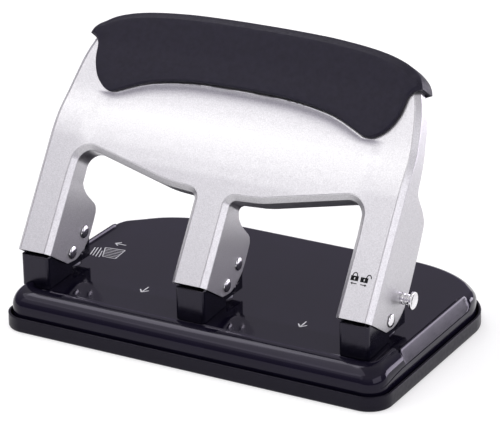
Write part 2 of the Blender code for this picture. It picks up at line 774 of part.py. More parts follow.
def make_handle_pins(materials, parent):
    seat = LEG_HALF_WIDTH + GAP
    for side, x in ROW_X.items():
        place = (x, PIVOT.y, PIVOT.z)
        bm = turned(rivet_profile(seat, RIVET_RADIUS), 20, place, "X")
        add_node("pivot_rivet_" + side, bm, materials["chrome"], origin=place, parent=parent)
    for side in ("left", "middle"):
        place = (ROW_X[side], DRIVE.y, DRIVE.z)
        bm = turned(rivet_profile(seat, PIN_RADIUS), 20, place, "X")
        add_node("drive_pin_" + side, bm, materials["chrome"], origin=place, parent=parent)


def make_lock_pin(materials, parent):
    """Sliding drive pin of the right leg, with a ringed neck, a disc knob and a clip on its inner end."""
    place = Vector((ROW_X["right"], DRIVE.y, DRIVE.z))
    slide = add_empty("lock_slide", place - parent.location / MM)
    slide.parent = parent
    neck = LOCK_NECK_RADIUS
    groove = PIN_RADIUS - 0.35
    profile = [
        (PIN_RADIUS - 0.3, -14.2),
        (PIN_RADIUS, -13.9),
        (PIN_RADIUS, -13.3),
        (groove, -13.3),
        (groove, -12.0),
        (PIN_RADIUS, -12.0),
        (PIN_RADIUS, 10.9),
        (neck, 10.9),
        (neck, 13.4),
        (neck - 0.5, 13.7),
        (neck - 0.5, 14.3),
        (neck, 14.6),
        (neck, 16.0),
        (neck - 0.6, 16.3),
        (neck - 0.6, 17.9),
        (5.25, 18.0),
        (5.25, 19.2),
        (4.8, 19.6),
    ]
    bm = turned(profile, 24, place, "X")
    pin = add_node("lock_pin", bm, materials["chrome"])
    clip_profile = [(groove + GAP, -13.0), (3.9, -13.0), (3.9, -12.3), (groove + GAP, -12.3)]
    clip = add_node("lock_pin_clip", turned(clip_profile, 20, place, "X", capped=False), materials["steel"])
    for piece in (pin, clip):
        piece.data.transform(Matrix.Translation(-place * MM))
        piece.parent = slide


def make_all():
    clear_scene()
    materials = make_materials()
    make_base_cover(materials)
    make_chip_tray(materials, add_empty("tray_slide", Vector((0.0, 0.0, 0.0))))
    handle = add_empty("handle_axis", PIVOT)
    for side in ROW_X:
        make_punch_bracket(side, materials)
        make_guide_block(side, materials)
        make_guide_rivets(side, materials)
        make_bracket_rivets(side, materials)
        make_die_ring(side, materials)
        make_punch_pin(side, materials)
        make_return_spring(side, materials)
    make_handle_shell(materials, handle)
    make_handle_grip(materials, handle)
    make_handle_pins(materials, handle)
    make_lock_pin(materials, handle)


make_all()
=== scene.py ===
"""Looks of the three hole punch: finer pressings, grip, pins, springs, prints and every material.

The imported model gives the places: the boxes of its nodes and its joints. Shapes are drawn in
millimetres in the same frame and turned into metres by add_piece(). +Z is up and the paper goes in from +Y.
"""

import json
import math

import bmesh
import bpy
from mathutils import Matrix, Vector


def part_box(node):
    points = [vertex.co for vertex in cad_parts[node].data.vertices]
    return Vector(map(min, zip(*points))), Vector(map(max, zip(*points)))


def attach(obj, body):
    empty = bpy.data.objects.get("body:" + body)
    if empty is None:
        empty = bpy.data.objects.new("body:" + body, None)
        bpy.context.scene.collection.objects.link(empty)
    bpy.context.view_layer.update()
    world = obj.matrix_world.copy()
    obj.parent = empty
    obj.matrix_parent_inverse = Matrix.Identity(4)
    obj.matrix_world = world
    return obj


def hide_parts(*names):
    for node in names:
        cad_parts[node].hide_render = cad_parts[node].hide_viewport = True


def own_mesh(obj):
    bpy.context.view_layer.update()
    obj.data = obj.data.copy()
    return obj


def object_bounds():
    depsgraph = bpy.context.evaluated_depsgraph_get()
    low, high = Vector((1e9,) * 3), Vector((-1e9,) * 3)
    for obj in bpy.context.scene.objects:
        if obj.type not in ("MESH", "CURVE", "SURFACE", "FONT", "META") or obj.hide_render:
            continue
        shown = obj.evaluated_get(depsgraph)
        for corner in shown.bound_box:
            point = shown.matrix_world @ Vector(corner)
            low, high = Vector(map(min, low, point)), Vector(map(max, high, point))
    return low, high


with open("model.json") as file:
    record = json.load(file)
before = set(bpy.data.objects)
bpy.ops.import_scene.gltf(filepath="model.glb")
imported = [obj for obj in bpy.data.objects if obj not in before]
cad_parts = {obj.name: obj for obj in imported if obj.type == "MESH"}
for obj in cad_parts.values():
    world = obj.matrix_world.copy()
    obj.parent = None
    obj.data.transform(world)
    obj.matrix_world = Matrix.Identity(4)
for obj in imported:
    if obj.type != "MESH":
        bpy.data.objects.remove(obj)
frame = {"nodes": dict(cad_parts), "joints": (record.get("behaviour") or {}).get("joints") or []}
cad_lo, cad_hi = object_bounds()

MM = 0.001
SIDES = ("left", "middle", "right")


# ---- places, from the frame

def node_box(name):
    lo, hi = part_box(name)
    return lo / MM, hi / MM


def node_centre(name):
    lo, hi = node_box(name)
    return (lo + hi) / 2


JOINTS = {joint["name"]: joint for joint in frame["joints"]}
TRAY_LO, TRAY_HI = node_box("chip_tray")
BASE_LO, BASE_HI = node_box("base_cover")
ROW_X = {side: node_centre("pivot_rivet_" + side).x for side in SIDES}
ROW_CENTRE_X = ROW_X["middle"]
HOLE_SPACING = ROW_X["right"] - ROW_X["middle"]
PIVOT = Vector(JOINTS["handle_press"]["pos_m"]) / MM
DRIVE = node_centre("drive_pin_left")
PUNCH_Y = node_centre("punch_pin_left").y
BRACKET_LO, BRACKET_HI = node_box("punch_bracket_left")
BRACKET_HALF_WIDTH = (BRACKET_HI.x - BRACKET_LO.x) / 2

GAP = 0.3
TABLE_Z = node_box("die_ring_left")[1].z

# Strip that slopes from the groove behind the front roll up to the crease at the table's front
GROOVE_Z = 20.8
GROOVE_Y = -62.0
CREASE_Y = -41.9

# Handle: t runs up the leg from its bottom front edge, d runs square to it, towards the rear
LEAN = math.radians(33.45)
UP_LEG = Vector((0.0, math.sin(LEAN), math.cos(LEAN)))
REARWARD = Vector((0.0, math.cos(LEAN), -math.sin(LEAN)))
PIVOT_TD = (7.35, 26.1)
LEG_FOOT = Vector((0.0, PIVOT.y, PIVOT.z)) - UP_LEG * PIVOT_TD[0] - REARWARD * PIVOT_TD[1]
SHEET = 1.25
FACE_HALF_WIDTH = 8.6
EDGE_BEVEL = 3.0
FACE_OUTER_X = HOLE_SPACING + FACE_HALF_WIDTH
LEG_HALF_WIDTH = FACE_HALF_WIDTH + EDGE_BEVEL
PIN_RADIUS = 1.95
RIVET_RADIUS = 2.0
LOCK_NECK_RADIUS = 3.35


# ---- shape helpers

def smooth_table(table, value):
    """Monotone cubic through a short table of (key, value) pairs."""
    if value <= table[0][0]:
        return table[0][1]
    if value >= table[-1][0]:
        return table[-1][1]
    slopes = [(v1 - v0) / (k1 - k0) for (k0, v0), (k1, v1) in zip(table, table[1:])]
    tangents = [slopes[0]]
    for a, b in zip(slopes, slopes[1:]):
        tangents.append(0.0 if a * b <= 0.0 else 2.0 * a * b / (a + b))
    tangents.append(slopes[-1])
    for i, ((k0, v0), (k1, v1)) in enumerate(zip(table, table[1:])):
        if value <= k1:
            break
    width = k1 - k0
    s = (value - k0) / width
    blend = s * s * (3.0 - 2.0 * s)
    rise = tangents[i] * s * (1.0 - s) ** 2 - tangents[i + 1] * s * s * (1.0 - s)
    return v0 + (v1 - v0) * blend + rise * width


def smooth_step(low, high, value):
    s = min(1.0, max(0.0, (value - low) / (high - low)))
    return s * s * (3.0 - 2.0 * s)


def spaced(start, stop, step):
    """Evenly spaced numbers from start to stop, ends included."""
    count = max(1, round(abs(stop - start) / step))
    return [start + (stop - start) * i / count for i in range(count + 1)]


def arc(centre, radii, start, stop, steps):
    """Points on an ellipse's arc, ends included; angles in degrees."""
    angles = [math.radians(start + (stop - start) * i / steps) for i in range(steps + 1)]
    return [(centre[0] + radii[0] * math.cos(a), centre[1] + radii[1] * math.sin(a)) for a in angles]


def fillet(before, corner, after, radius, steps):
    """Arc that rounds a corner between two straight runs."""
    corner = Vector(corner)
    a = (Vector(before) - corner).normalized()
    b = (Vector(after) - corner).normalized()
    half = a.angle(b) / 2
    centre = corner + (a + b).normalized() * (radius / math.sin(half))
    start = corner + a * (radius / math.tan(half)) - centre
    stop = corner + b * (radius / math.tan(half)) - centre
    turn = start.angle_signed(stop)
    return [tuple(centre + Matrix.Rotation(-turn * i / steps, 2) @ start) for i in range(steps + 1)]


def spline(points, steps):
    """Catmull-Rom curve through the given points, which it keeps."""
    padded = [points[0], *points, points[-1]]
    curve = [points[0]]
    for p0, p1, p2, p3 in zip(padded, padded[1:], padded[2:], padded[3:]):
        for i in range(1, steps + 1):
            s = i / steps
            curve.append(tuple(
                0.5 * (2 * b + (c - a) * s + (2 * a - 5 * b + 4 * c - d) * s * s
                       + (3 * b - a - 3 * c + d) * s ** 3)
                for a, b, c, d in zip(p0, p1, p2, p3)))
    return curve


def offset_chain(points, distances, closed=False):
    """Shift a chain of 2-D points to its left by a distance at each point, mitred."""
    count = len(points)
    shifted = []
    for i, point in enumerate(points):
        here = Vector(point)
        before = after = None
        if i or closed:
            before = (here - Vector(points[i - 1])).normalized()
        if i < count - 1 or closed:
            after = (Vector(points[(i + 1) % count]) - here).normalized()
        before = before or after
        after = after or before
        n0 = Vector((-before.y, before.x))
        n1 = Vector((-after.y, after.x))
        mitre = (n0 + n1).normalized()
        reach = max(mitre.dot(n0), 0.5)
        shifted.append(tuple(here + mitre * (distances[i] / reach)))
    return shifted


def outline(half):
    """Closed outline of a right half that starts and ends on x = 0."""
    return half + [(-x, y) for x, y in reversed(half[1:-1])]


def mirrored(points):
    """The points of a right half, carried on into the left half; the last one lies on x = 0."""
    return points + [(-x, y) for x, y in reversed(points[:-1])]


def bridge(bm, lower, upper, closed=True):
    """Quads between two rows of vertices."""
    count = len(lower)
    for i in range(count if closed else count - 1):
        j = (i + 1) % count
        bm.faces.new((lower[i], lower[j], upper[j], upper[i]))


def add_rings(bm, rows):
    """Closed rows of vertices, joined by quads."""
    rings = [[bm.verts.new(point) for point in row] for row in rows]
    for lower, upper in zip(rings, rings[1:]):
        bridge(bm, lower, upper)
    return rings


def loft(rows, capped=True):
    """Solid through closed rows of 3-D points; without caps the last row joins the first."""
    bm = bmesh.new()
    rings = add_rings(bm, rows)
    if capped:
        bm.faces.new(rings[0])
        bm.faces.new(rings[-1])
    else:
        bridge(bm, rings[-1], rings[0])
    return bm


def turned(profile, segments, place, axis="Z", capped=True):
    """Round solid of (radius, height) pairs about an axis through a place."""
    place = Vector(place)
    rows = []
    for radius, height in profile:
        row = []
        for i in range(segments):
            angle = 2 * math.pi * i / segments
            a = radius * math.cos(angle)
            b = radius * math.sin(angle)
            row.append(place + Vector((a, b, height) if axis == "Z" else (height, a, b)))
        rows.append(row)
    return loft(rows, capped)


def slice_faces(bm, faces, axis, places):
    """Cut faces across by planes square to an axis (0 = x, 1 = y), so that they can be bent."""
    normal = Vector((1 - axis, axis, 0))
    for place in places:
        live = [face for face in faces if face.is_valid]
        edges = {edge for face in live for edge in face.edges}
        verts = {vert for face in live for vert in face.verts}
        result = bmesh.ops.bisect_plane(
            bm, geom=[*verts, *edges, *live], plane_co=normal * place, plane_no=normal, dist=0.02)
        made = [item for item in result["geom"] if isinstance(item, bmesh.types.BMFace)]
        faces = list({*live, *made})
    return [face for face in faces if face.is_valid]


def add_piece(name, bm, material, body=None, sharp=35.0):
    """Make a piece of a bmesh drawn in millimetres, in its material, riding on a CAD body."""
    bm.normal_update()
    bmesh.ops.recalc_face_normals(bm, faces=bm.faces)
    bm.transform(Matrix.Scale(MM, 4))
    mesh = bpy.data.meshes.new(name)
    bm.to_mesh(mesh)
    bm.free()
    mesh.shade_smooth()
    mesh.set_sharp_from_angle(angle=math.radians(sharp))
    piece = bpy.data.objects.new(name, mesh)
    bpy.context.scene.collection.objects.link(piece)
    if material:
        mesh.materials.append(material)
    if body:
        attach(piece, body)
    return piece


def even_shading(piece):
    """Let the large faces decide the shading, so that flat sheet looks flat beside its small fillets."""
    modifier = piece.modifiers.new("even_shading", "WEIGHTED_NORMAL")
    modifier.keep_sharp = True
    modifier.weight = 100


def cut(piece, cutters):
    """Cut solids out of a piece for good, so that no cutter stays in the scene."""
    for bm in cutters:
        cutter = add_piece(piece.name + "_cutter", bm, None)
        modifier = piece.modifiers.new("cut", "BOOLEAN")
        modifier.operation = "DIFFERENCE"
        modifier.solver = "EXACT"
        modifier.object = cutter
        bpy.context.view_layer.update()
        evaluated = piece.evaluated_get(bpy.context.evaluated_depsgraph_get())
        mesh = bpy.data.meshes.new_from_object(evaluated)
        piece.modifiers.remove(modifier)
        piece.data = mesh
        bpy.data.objects.remove(cutter, do_unlink=True)


# ---- materials

class Recipe:
    """A Principled material with procedural detail in the piece's own coordinates."""

    def __init__(self, name, colour, roughness, metallic=0.0, **settings):
        self.material = bpy.data.materials.new(name)
        self.material.use_nodes = True
        self.tree = self.material.node_tree
        self.shader = self.tree.nodes["Principled BSDF"]
        self.coordinates = self.tree.nodes.new("ShaderNodeTexCoord")
        self.colour = colour
        self.shader.inputs["Base Color"].default_value = (*colour, 1.0)
        self.shader.inputs["Roughness"].default_value = roughness
        self.shader.inputs["Metallic"].default_value = metallic
        for socket, value in settings.items():
            self.shader.inputs[socket.replace("_", " ")].default_value = value

    def noise(self, scale, detail=4.0, stretch=(1.0, 1.0, 1.0)):
        mapping = self.tree.nodes.new("ShaderNodeMapping")
        mapping.inputs["Scale"].default_value = stretch
        self.tree.links.new(self.coordinates.outputs["Object"], mapping.inputs["Vector"])
        noise = self.tree.nodes.new("ShaderNodeTexNoise")
        noise.inputs["Scale"].default_value = scale
        noise.inputs["Detail"].default_value = detail
        self.tree.links.new(mapping.outputs["Vector"], noise.inputs["Vector"])
        return noise.outputs["Fac"]

    def mottle(self, scale, low, high, detail=4.0, stretch=(1.0, 1.0, 1.0)):
        """Vary the colour between two multiples of itself."""
        ramp = self.tree.nodes.new("ShaderNodeValToRGB")
        for element, share, place in zip(ramp.color_ramp.elements, (low, high), (0.35, 0.65)):
            element.position = place
            element.color = (*(channel * share for channel in self.colour), 1.0)
        self.tree.links.new(self.noise(scale, detail, stretch), ramp.inputs["Fac"])
        self.tree.links.new(ramp.outputs["Color"], self.shader.inputs["Base Color"])
        return self

    def polish(self, scale, low, high, detail=4.0, stretch=(1.0, 1.0, 1.0)):
        """Vary the roughness between two values."""
        spread = self.tree.nodes.new("ShaderNodeMapRange")
        spread.inputs["From Min"].default_value = 0.35
        spread.inputs["From Max"].default_value = 0.65
        spread.inputs["To Min"].default_value = low
        spread.inputs["To Max"].default_value = high
        self.tree.links.new(self.noise(scale, detail, stretch), spread.inputs["Value"])
        self.tree.links.new(spread.outputs["Result"], self.shader.inputs["Roughness"])
        return self

    def grain(self, scale, depth, strength=1.0, detail=2.0, stretch=(1.0, 1.0, 1.0)):
        """Raise and sink the surface; depth is in millimetres."""
        bump = self.tree.nodes.new("ShaderNodeBump")
        bump.inputs["Strength"].default_value = strength
        bump.inputs["Distance"].default_value = depth * MM
        self.tree.links.new(self.noise(scale, detail, stretch), bump.inputs["Height"])
        self.tree.links.new(bump.outputs["Normal"], self.shader.inputs["Normal"])
        return self


BLACK_TINT = (0.86, 0.80, 1.0, 1.0)
GRIP_TINT = (0.88, 0.84, 1.0, 1.0)


def make_materials():
    along = (1.0, 1.0, 8.0)
    recipes = {
        "silver": Recipe("silver_paint", (0.515, 0.508, 0.525), 0.34, 0.92)
        .mottle(1500.0, 0.88, 1.08, 3.0).polish(700.0, 0.33, 0.41).grain(1800.0, 0.012, 0.5),
        "grip": Recipe(
            "soft_touch_rubber", (0.008, 0.007, 0.014), 0.5,
            Specular_IOR_Level=0.24, Specular_Tint=GRIP_TINT)
        .mottle(260.0, 0.85, 1.15).polish(500.0, 0.44, 0.54).grain(2600.0, 0.01, 0.6),
        "gloss": Recipe(
            "gloss_black_enamel", (0.0045, 0.0036, 0.0095), 0.05,
            Specular_IOR_Level=0.24, Specular_Tint=BLACK_TINT)
        .mottle(60.0, 0.9, 1.12).polish(180.0, 0.085, 0.105).grain(240.0, 0.004, 0.25),
        "tray": Recipe(
            "moulded_tray", (0.003, 0.0026, 0.006), 0.3,
            Specular_IOR_Level=0.2, Specular_Tint=BLACK_TINT)
        .mottle(220.0, 0.9, 1.12).polish(420.0, 0.30, 0.42).grain(1500.0, 0.012, 0.5),
        "bracket": Recipe(
            "satin_black_coat", (0.004, 0.0036, 0.008), 0.24,
            Specular_IOR_Level=0.36, Specular_Tint=BLACK_TINT)
        .mottle(300.0, 0.9, 1.12).polish(600.0, 0.16, 0.24).grain(1600.0, 0.002, 0.12),
        "chrome": Recipe("bright_nickel", (0.80, 0.79, 0.81), 0.12, 1.0)
        .mottle(900.0, 0.95, 1.03).polish(1200.0, 0.08, 0.17).grain(2500.0, 0.003, 0.4),
        "steel": Recipe("ground_steel", (0.44, 0.44, 0.46), 0.28, 1.0)
        .mottle(500.0, 0.88, 1.06, 4.0, (1.0, 1.0, 6.0)).polish(900.0, 0.22, 0.36, 4.0, along)
        .grain(1400.0, 0.006, 0.5, 2.0, along),
        "print_white": Recipe("white_print", (0.80, 0.80, 0.82), 0.45)
        .mottle(1300.0, 0.9, 1.02).polish(800.0, 0.4, 0.55),
        "print_black": Recipe("black_print", (0.004, 0.004, 0.005), 0.5, Specular_IOR_Level=0.1)
        .mottle(1300.0, 0.8, 1.2).polish(800.0, 0.36, 0.5),
    }
    return {key: recipe.material for key, recipe in recipes.items()}


MATERIALS = make_materials()


# ---- base cover

BASE_HALF_WIDTH = BASE_HI.x
BASE_FRONT_Y = BASE_LO.y
BASE_BACK_Y = BASE_HI.y
BASE_FOOT_Z = BASE_LO.z
BASE_CORNER = 12.0
BASE_BACK_RADII = (55.0, 41.0)
CEILING_Z = 19.3
SKIRT_TOP_Z = 13.6
SKIRT_CLIMB = 2.7

# Front roll: a pair holds the value along the front and the one along the side
ROLL_CREST_Z = (23.8, 24.3)
ROLL_CREST_INSET = (11.0, 8.0)
ROLL_FOOT_INSET = (18.3, 12.4)
ROLL_GROOVE_DEPTH = 0.4
CORNER_REACH = 20.0

# Side ridge: its facet rises from the skirt to the crest, and its hollow inner face ends at a groove
RIDGE_CREST_Z = BASE_HI.z
RIDGE_FOOT_Z = SKIRT_TOP_Z + SKIRT_CLIMB
RIDGE_FACET_Z = 24.0
RIDGE_FACET_INSET = 3.3
RIDGE_CREST_INSET = 4.0
RIDGE_HOLLOW_INSET = 4.5
RIDGE_HOLLOW_Z = 22.1
RIDGE_HOLLOW_RISE = 2.29
RIDGE_INNER_INSET = 6.1
RIDGE_GROOVE_DEPTH = 0.45
RIDGE_END_Y = 39.5
RIDGE_END_LENGTH = 6.0
RIDGE_MIDDLE_INSET = 3.4
RIDGE_REACH = 12.5

# Rounded shoulder behind the ridges and beside them, and the table's lift towards the ridges
SHOULDER = 8.0
SIDE_SHOULDER = 4.5
SHOULDER_BACK_Y = 62.0
MARGIN_X = 111.5
MARGIN_WIDTH = 7.5
MARGIN_LIFT = 0.55
RING_INSETS = (
    0.0, 0.06, 0.2, 0.45, 0.8, 1.2, 1.6, 2.0, 2.5, 3.0, 3.3, 3.5, 3.75, 4.0, 4.25, 4.5, 4.75, 5.1, 5.6,
    6.05, 6.2, 6.45, 6.8, 7.1, 7.8, 8.5, 9.2, 9.8, 10.4, 11.0, 11.6, 12.2, 12.5, 13.3, 13.7, 14.6,
)

# Seam across the side, where the front roll ends and the ridge starts
SEAM_Y = -45.0
SEAM_INNER_X = 113.4
SEAM_SLOPE = 0.257
SEAM_DEPTH = 0.45
SEAM_HALF_WIDTH = 0.55

# The left bracket stands in a seat cut across the left ridge
SEAT_EDGE_X = ROW_X["left"] + BRACKET_HALF_WIDTH + 0.5
SEAT_FRONT_Y = -63.1
SEAT_BACK_Y = -14.5
SEAT_CLEARANCE = 0.05

SIDE_STATIONS = (
    spaced(-68.5, -63.4, 0.85) + [-63.2, -63.0] + spaced(-62.0, -49.5, 1.1) + spaced(-49.0, -44.2, 0.35)
    + spaced(-43.0, -16.0, 3.0) + [-14.6, -14.4] + spaced(-12.0, 33.0, 3.0) + spaced(34.0, 40.0, 0.4)
)

# Side stations that a corner's arc has reached are pushed along, this far apart
STATION_GAP = 0.04
FRONT_END_X = 98.0


def corner_radius(inset):
    """Front corner's radius in plan, which shrinks slowly so that the roll turns it in a broad curve."""
    return max(BASE_CORNER - inset * 0.35, 1.0)


def plan_half(inset):
    """Right half of the base's outline, set in from its edge, from the front centre to the back centre."""
    half_width = BASE_HALF_WIDTH - inset
    front = BASE_FRONT_Y + inset
    back = BASE_BACK_Y - inset
    radius = corner_radius(inset)
    radii = (BASE_BACK_RADII[0] - inset * 0.5, BASE_BACK_RADII[1] - inset * 0.5)
    straight = half_width - radius
    start = front + radius
    end = back - radii[1]
    points = [(x, front) for x in spaced(0.0, 96.0, 8.0)]
    points += [(FRONT_END_X + (straight - FRONT_END_X) * i / 8, front) for i in range(8)]
    points += arc((straight, start), (radius, radius), -90, 0, 16)
    count = len(SIDE_STATIONS)
    for i, y in enumerate(SIDE_STATIONS):
        y = max(y, start + STATION_GAP * (i + 1))
        points.append((half_width, min(y, end - STATION_GAP * (count - i))))
    points += arc((half_width - radii[0], end), radii, 0, 90, 40)
    points += [((half_width - radii[0]) * (1.0 - i / 9), back) for i in range(1, 10)]
    return points


def plan_row(inset):
    return outline(plan_half(inset))


def strip_z(y):
    """Height of the sloping strip behind the front groove, level with the table behind the crease."""
    share = min(1.0, max(0.0, (y - GROOVE_Y) / (CREASE_Y - GROOVE_Y)))
    return GROOVE_Z + (TABLE_Z - GROOVE_Z) * share


def floor_z(x, y):
    """The strip and the table, whose side margins lift a little towards the ridges."""
    margin = max(0.0, (abs(x) - MARGIN_X) / MARGIN_WIDTH)
    behind_seam = smooth_step(SEAM_Y - 1.0, SEAM_Y + 1.0, y)
    return strip_z(y) + MARGIN_LIFT * min(margin, 1.2) ** 2 * behind_seam


def edge_distance(x, y):
    """Inset of the outline that passes through a place, from the front and side edges."""
    front = y - BASE_FRONT_Y
    side = BASE_HALF_WIDTH - abs(x)
    low = 0.0
    high = min(front, side)
    for _ in range(24):
        middle = (low + high) / 2
        radius = corner_radius(middle)
        reach = math.hypot(max(0.0, radius - side + middle), max(0.0, radius - front + middle))
        if reach < radius:
            low = middle
        else:
            high = middle
    return low


def corner_share(x, y):
    """0 along the front, 1 along the side, turning round the front corner."""
    along = max(0.0, abs(x) - (BASE_HALF_WIDTH - CORNER_REACH))
    ahead = max(0.0, (BASE_FRONT_Y + CORNER_REACH) - y)
    if along == 0.0:
        return 0.0
    return smooth_step(0.0, math.pi / 2, math.atan2(along, ahead))


def crease_z(x, y):
    """Top of the skirt, which the roll starts from: it climbs round the corner to the ridge's foot."""
    climb = smooth_step(-80.0, -48.0, y) * smooth_step(0.3, 1.0, corner_share(x, y))
    return SKIRT_TOP_Z + SKIRT_CLIMB * climb


def mixed(pair, share):
    return pair[0] + (pair[1] - pair[0]) * share


def groove_share(distance, near, far):
    """1 on the floor of a groove; near and far each hold the two ends of one of its walls."""
    return smooth_step(*near, distance) - smooth_step(*far, distance)


def roll_z(x, y, inset):
    """The rounded front roll, which turns the corner and runs back as far as the seam."""
    share = corner_share(x, y)
    crest_inset = mixed(ROLL_CREST_INSET, share)
    foot_inset = mixed(ROLL_FOOT_INSET, share)
    crest = mixed(ROLL_CREST_Z, share)
    low = crease_z(x, y)
    ground = floor_z(x, y)
    if inset < crest_inset:
        return low + (crest - low) * math.sqrt(max(0.0, 1.0 - ((crest_inset - inset) / crest_inset) ** 2))
    if inset < foot_inset:
        fall = (inset - crest_inset) / (foot_inset - crest_inset)
        return ground + (crest - ground) * 0.5 * (1.0 + math.cos(math.pi * fall))
    return ground - ROLL_GROOVE_DEPTH * groove_share(inset - foot_inset, (0.0, 0.2), (0.9, 1.2))


def ridge_z(x, y, inset):
    """The side ridge: steep outer facet, narrow crest, hollow inner face and a groove along the table."""
    if inset < RIDGE_FACET_INSET:
        return RIDGE_FOOT_Z + (RIDGE_FACET_Z - RIDGE_FOOT_Z) * inset / RIDGE_FACET_INSET
    if inset < RIDGE_HOLLOW_INSET:
        return RIDGE_CREST_Z - 0.8 * ((inset - RIDGE_CREST_INSET) / 0.7) ** 2
    if inset < RIDGE_INNER_INSET:
        share = (RIDGE_INNER_INSET - inset) / (RIDGE_INNER_INSET - RIDGE_HOLLOW_INSET)
        return RIDGE_HOLLOW_Z + RIDGE_HOLLOW_RISE * share ** 1.5
    return floor_z(x, y) - RIDGE_GROOVE_DEPTH * groove_share(inset, (6.05, 6.2), (6.8, 7.1))


def shoulder_z(x, y, inset):
    """Rounded shoulder of the back, which also runs below the ridges."""
    ground = floor_z(x, y)
    radius = mixed((SIDE_SHOULDER, SHOULDER), smooth_step(RIDGE_END_Y, SHOULDER_BACK_Y, y))
    if inset >= radius:
        return ground
    return ground - radius + math.sqrt(radius ** 2 - (radius - inset) ** 2)


def ridge_or_shoulder_z(x, y, inset):
    """Behind the seam: the shoulder, with the ridge on it as far as its rounded end."""
    low = shoulder_z(x, y, inset)
    round_end = max(0.0, (y - RIDGE_END_Y + RIDGE_END_LENGTH) / RIDGE_END_LENGTH)
    if BASE_HALF_WIDTH - abs(x) >= RIDGE_REACH or round_end >= 1.0:
        return low
    share = math.sqrt(1.0 - round_end ** 2)
    across = RIDGE_MIDDLE_INSET + (inset - RIDGE_MIDDLE_INSET) / (0.5 + 0.5 * share)
    return low + (ridge_z(x, y, max(0.0, across)) - low) * share


def top_z(x, y, inset):
    """Height of the base cover's upper skin."""
    seam_y = SEAM_Y - SEAM_SLOPE * (abs(x) - SEAM_INNER_X)
    height = roll_z(x, y, inset) if y < seam_y else ridge_or_shoulder_z(x, y, inset)
    if abs(x) > SEAM_INNER_X:
        height -= SEAM_DEPTH * max(0.0, 1.0 - abs(y - seam_y) / SEAM_HALF_WIDTH)
    if x < SEAT_EDGE_X and SEAT_FRONT_Y < y < SEAT_BACK_Y:
        height = min(height, strip_z(y) + SEAT_CLEARANCE)
    return height


# Inset and height of the rows inside; drop below the crease and share of the depth of the line there
COVER_INSIDE = ((4.6, CEILING_Z), (1.6, 13.0), (1.6, BASE_FOOT_Z))
CREASE_LINE = ((1.1, 0.0), (0.8, 1.0), (0.25, 1.0))
CREASE_LINE_DEPTH = 0.45
TABLE_CUTS_Y = (
    spaced(-72.0, -61.0, 0.45) + spaced(-58.0, -50.0, 4.0) + spaced(-48.6, -44.0, 0.4)
    + [-42.6, CREASE_Y, -41.2] + spaced(-30.0, 70.0, 10.0)
)
TABLE_CUTS_X = spaced(103.0, 116.4, 0.7)


def skirt_rows():
    """Rows from the ceiling round the foot and up the skirt, with a fine line below the side's crease."""
    rows = [[(x, y, z) for x, y in plan_row(inset)] for inset, z in COVER_INSIDE]
    rows.append([(x, y, BASE_FOOT_Z) for x, y in plan_row(0.0)])
    for below, depth in CREASE_LINE:
        row = []
        for (x, y), inner in zip(plan_row(0.0), plan_row(CREASE_LINE_DEPTH)):
            along_side = smooth_step(0.45, 0.9, corner_share(x, y))
            share = depth * along_side * (1.0 - smooth_step(RIDGE_END_Y - 3.5, RIDGE_END_Y, y))
            place = Vector((x, y)).lerp(Vector(inner), share)
            row.append((place.x, place.y, top_z(x, y, 0.0) - below))
        rows.append(row)
    return rows


def cover_holes():
    """Cutters for the seats of the die rings and the holes of the bracket rivets."""
    die_lo, die_hi = node_box("die_ring_left")
    holes = []
    for side in SIDES:
        holes.append(((die_hi.x - die_lo.x) / 2 + GAP, 64, (ROW_X[side], PUNCH_Y, 0.0)))
        for end in ("front", "rear"):
            place = node_centre("bracket_rivet_" + side + "_" + end)
            holes.append((RIVET_RADIUS + GAP, 24, (place.x, place.y, 0.0)))
    heights = (CEILING_Z - 3.0, TABLE_Z + 3.0)
    return [turned([(radius, z) for z in heights], segments, place) for radius, segments, place in holes]


def make_base_cover():
    bm = bmesh.new()
    rows = skirt_rows()
    rows += [[(x, y, top_z(x, y, inset)) for x, y in plan_row(inset)] for inset in RING_INSETS]
    rings = add_rings(bm, rows)
    bm.faces.new(rings[0])
    table = slice_faces(bm, [bm.faces.new(rings[-1])], 1, TABLE_CUTS_Y)
    table = slice_faces(
        bm, table, 0, TABLE_CUTS_X + [-x for x in TABLE_CUTS_X] + spaced(-90.0, 90.0, 15.0))
    for vert in {vert for face in table for vert in face.verts}:
        x, y, z = vert.co
        inset = edge_distance(x, y)
        if inset > RING_INSETS[-1] + 0.01:
            vert.co.z = top_z(x, y, inset)
    bmesh.ops.triangulate(bm, faces=[face for face in bm.faces if len(face.verts) > 4])
    piece = add_piece("base_pressing", bm, MATERIALS["gloss"], "base")
    cut(piece, cover_holes())
    even_shading(piece)
    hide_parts("base_cover")


# ---- chip tray

TRAY_FRONT_RADIUS = 15.0
TRAY_BACK_RADII = (58.0, 44.0)
TRAY_WALL = 1.6
TRAY_FLOOR = 2.0


def tray_row(inset, z):
    half_width = TRAY_HI.x - inset
    radius = max(TRAY_FRONT_RADIUS - inset, 1.5)
    radii = (TRAY_BACK_RADII[0] - inset, TRAY_BACK_RADII[1] - inset)
    front = TRAY_LO.y + inset
    back = TRAY_HI.y - inset
    start = front + radius
    half = [((half_width - radius) * i / 14, front) for i in range(14)]
    half += arc((half_width - radius, start), (radius, radius), -90, 0, 24)
    half += [(half_width, start + (back - radii[1] - start) * i / 14) for i in range(1, 14)]
    half += arc((half_width - radii[0], back - radii[1]), radii, 0, 90, 48)
    half += [((half_width - radii[0]) * (1.0 - i / 9), back) for i in range(1, 10)]
    return [(x, y, z) for x, y in outline(half)]


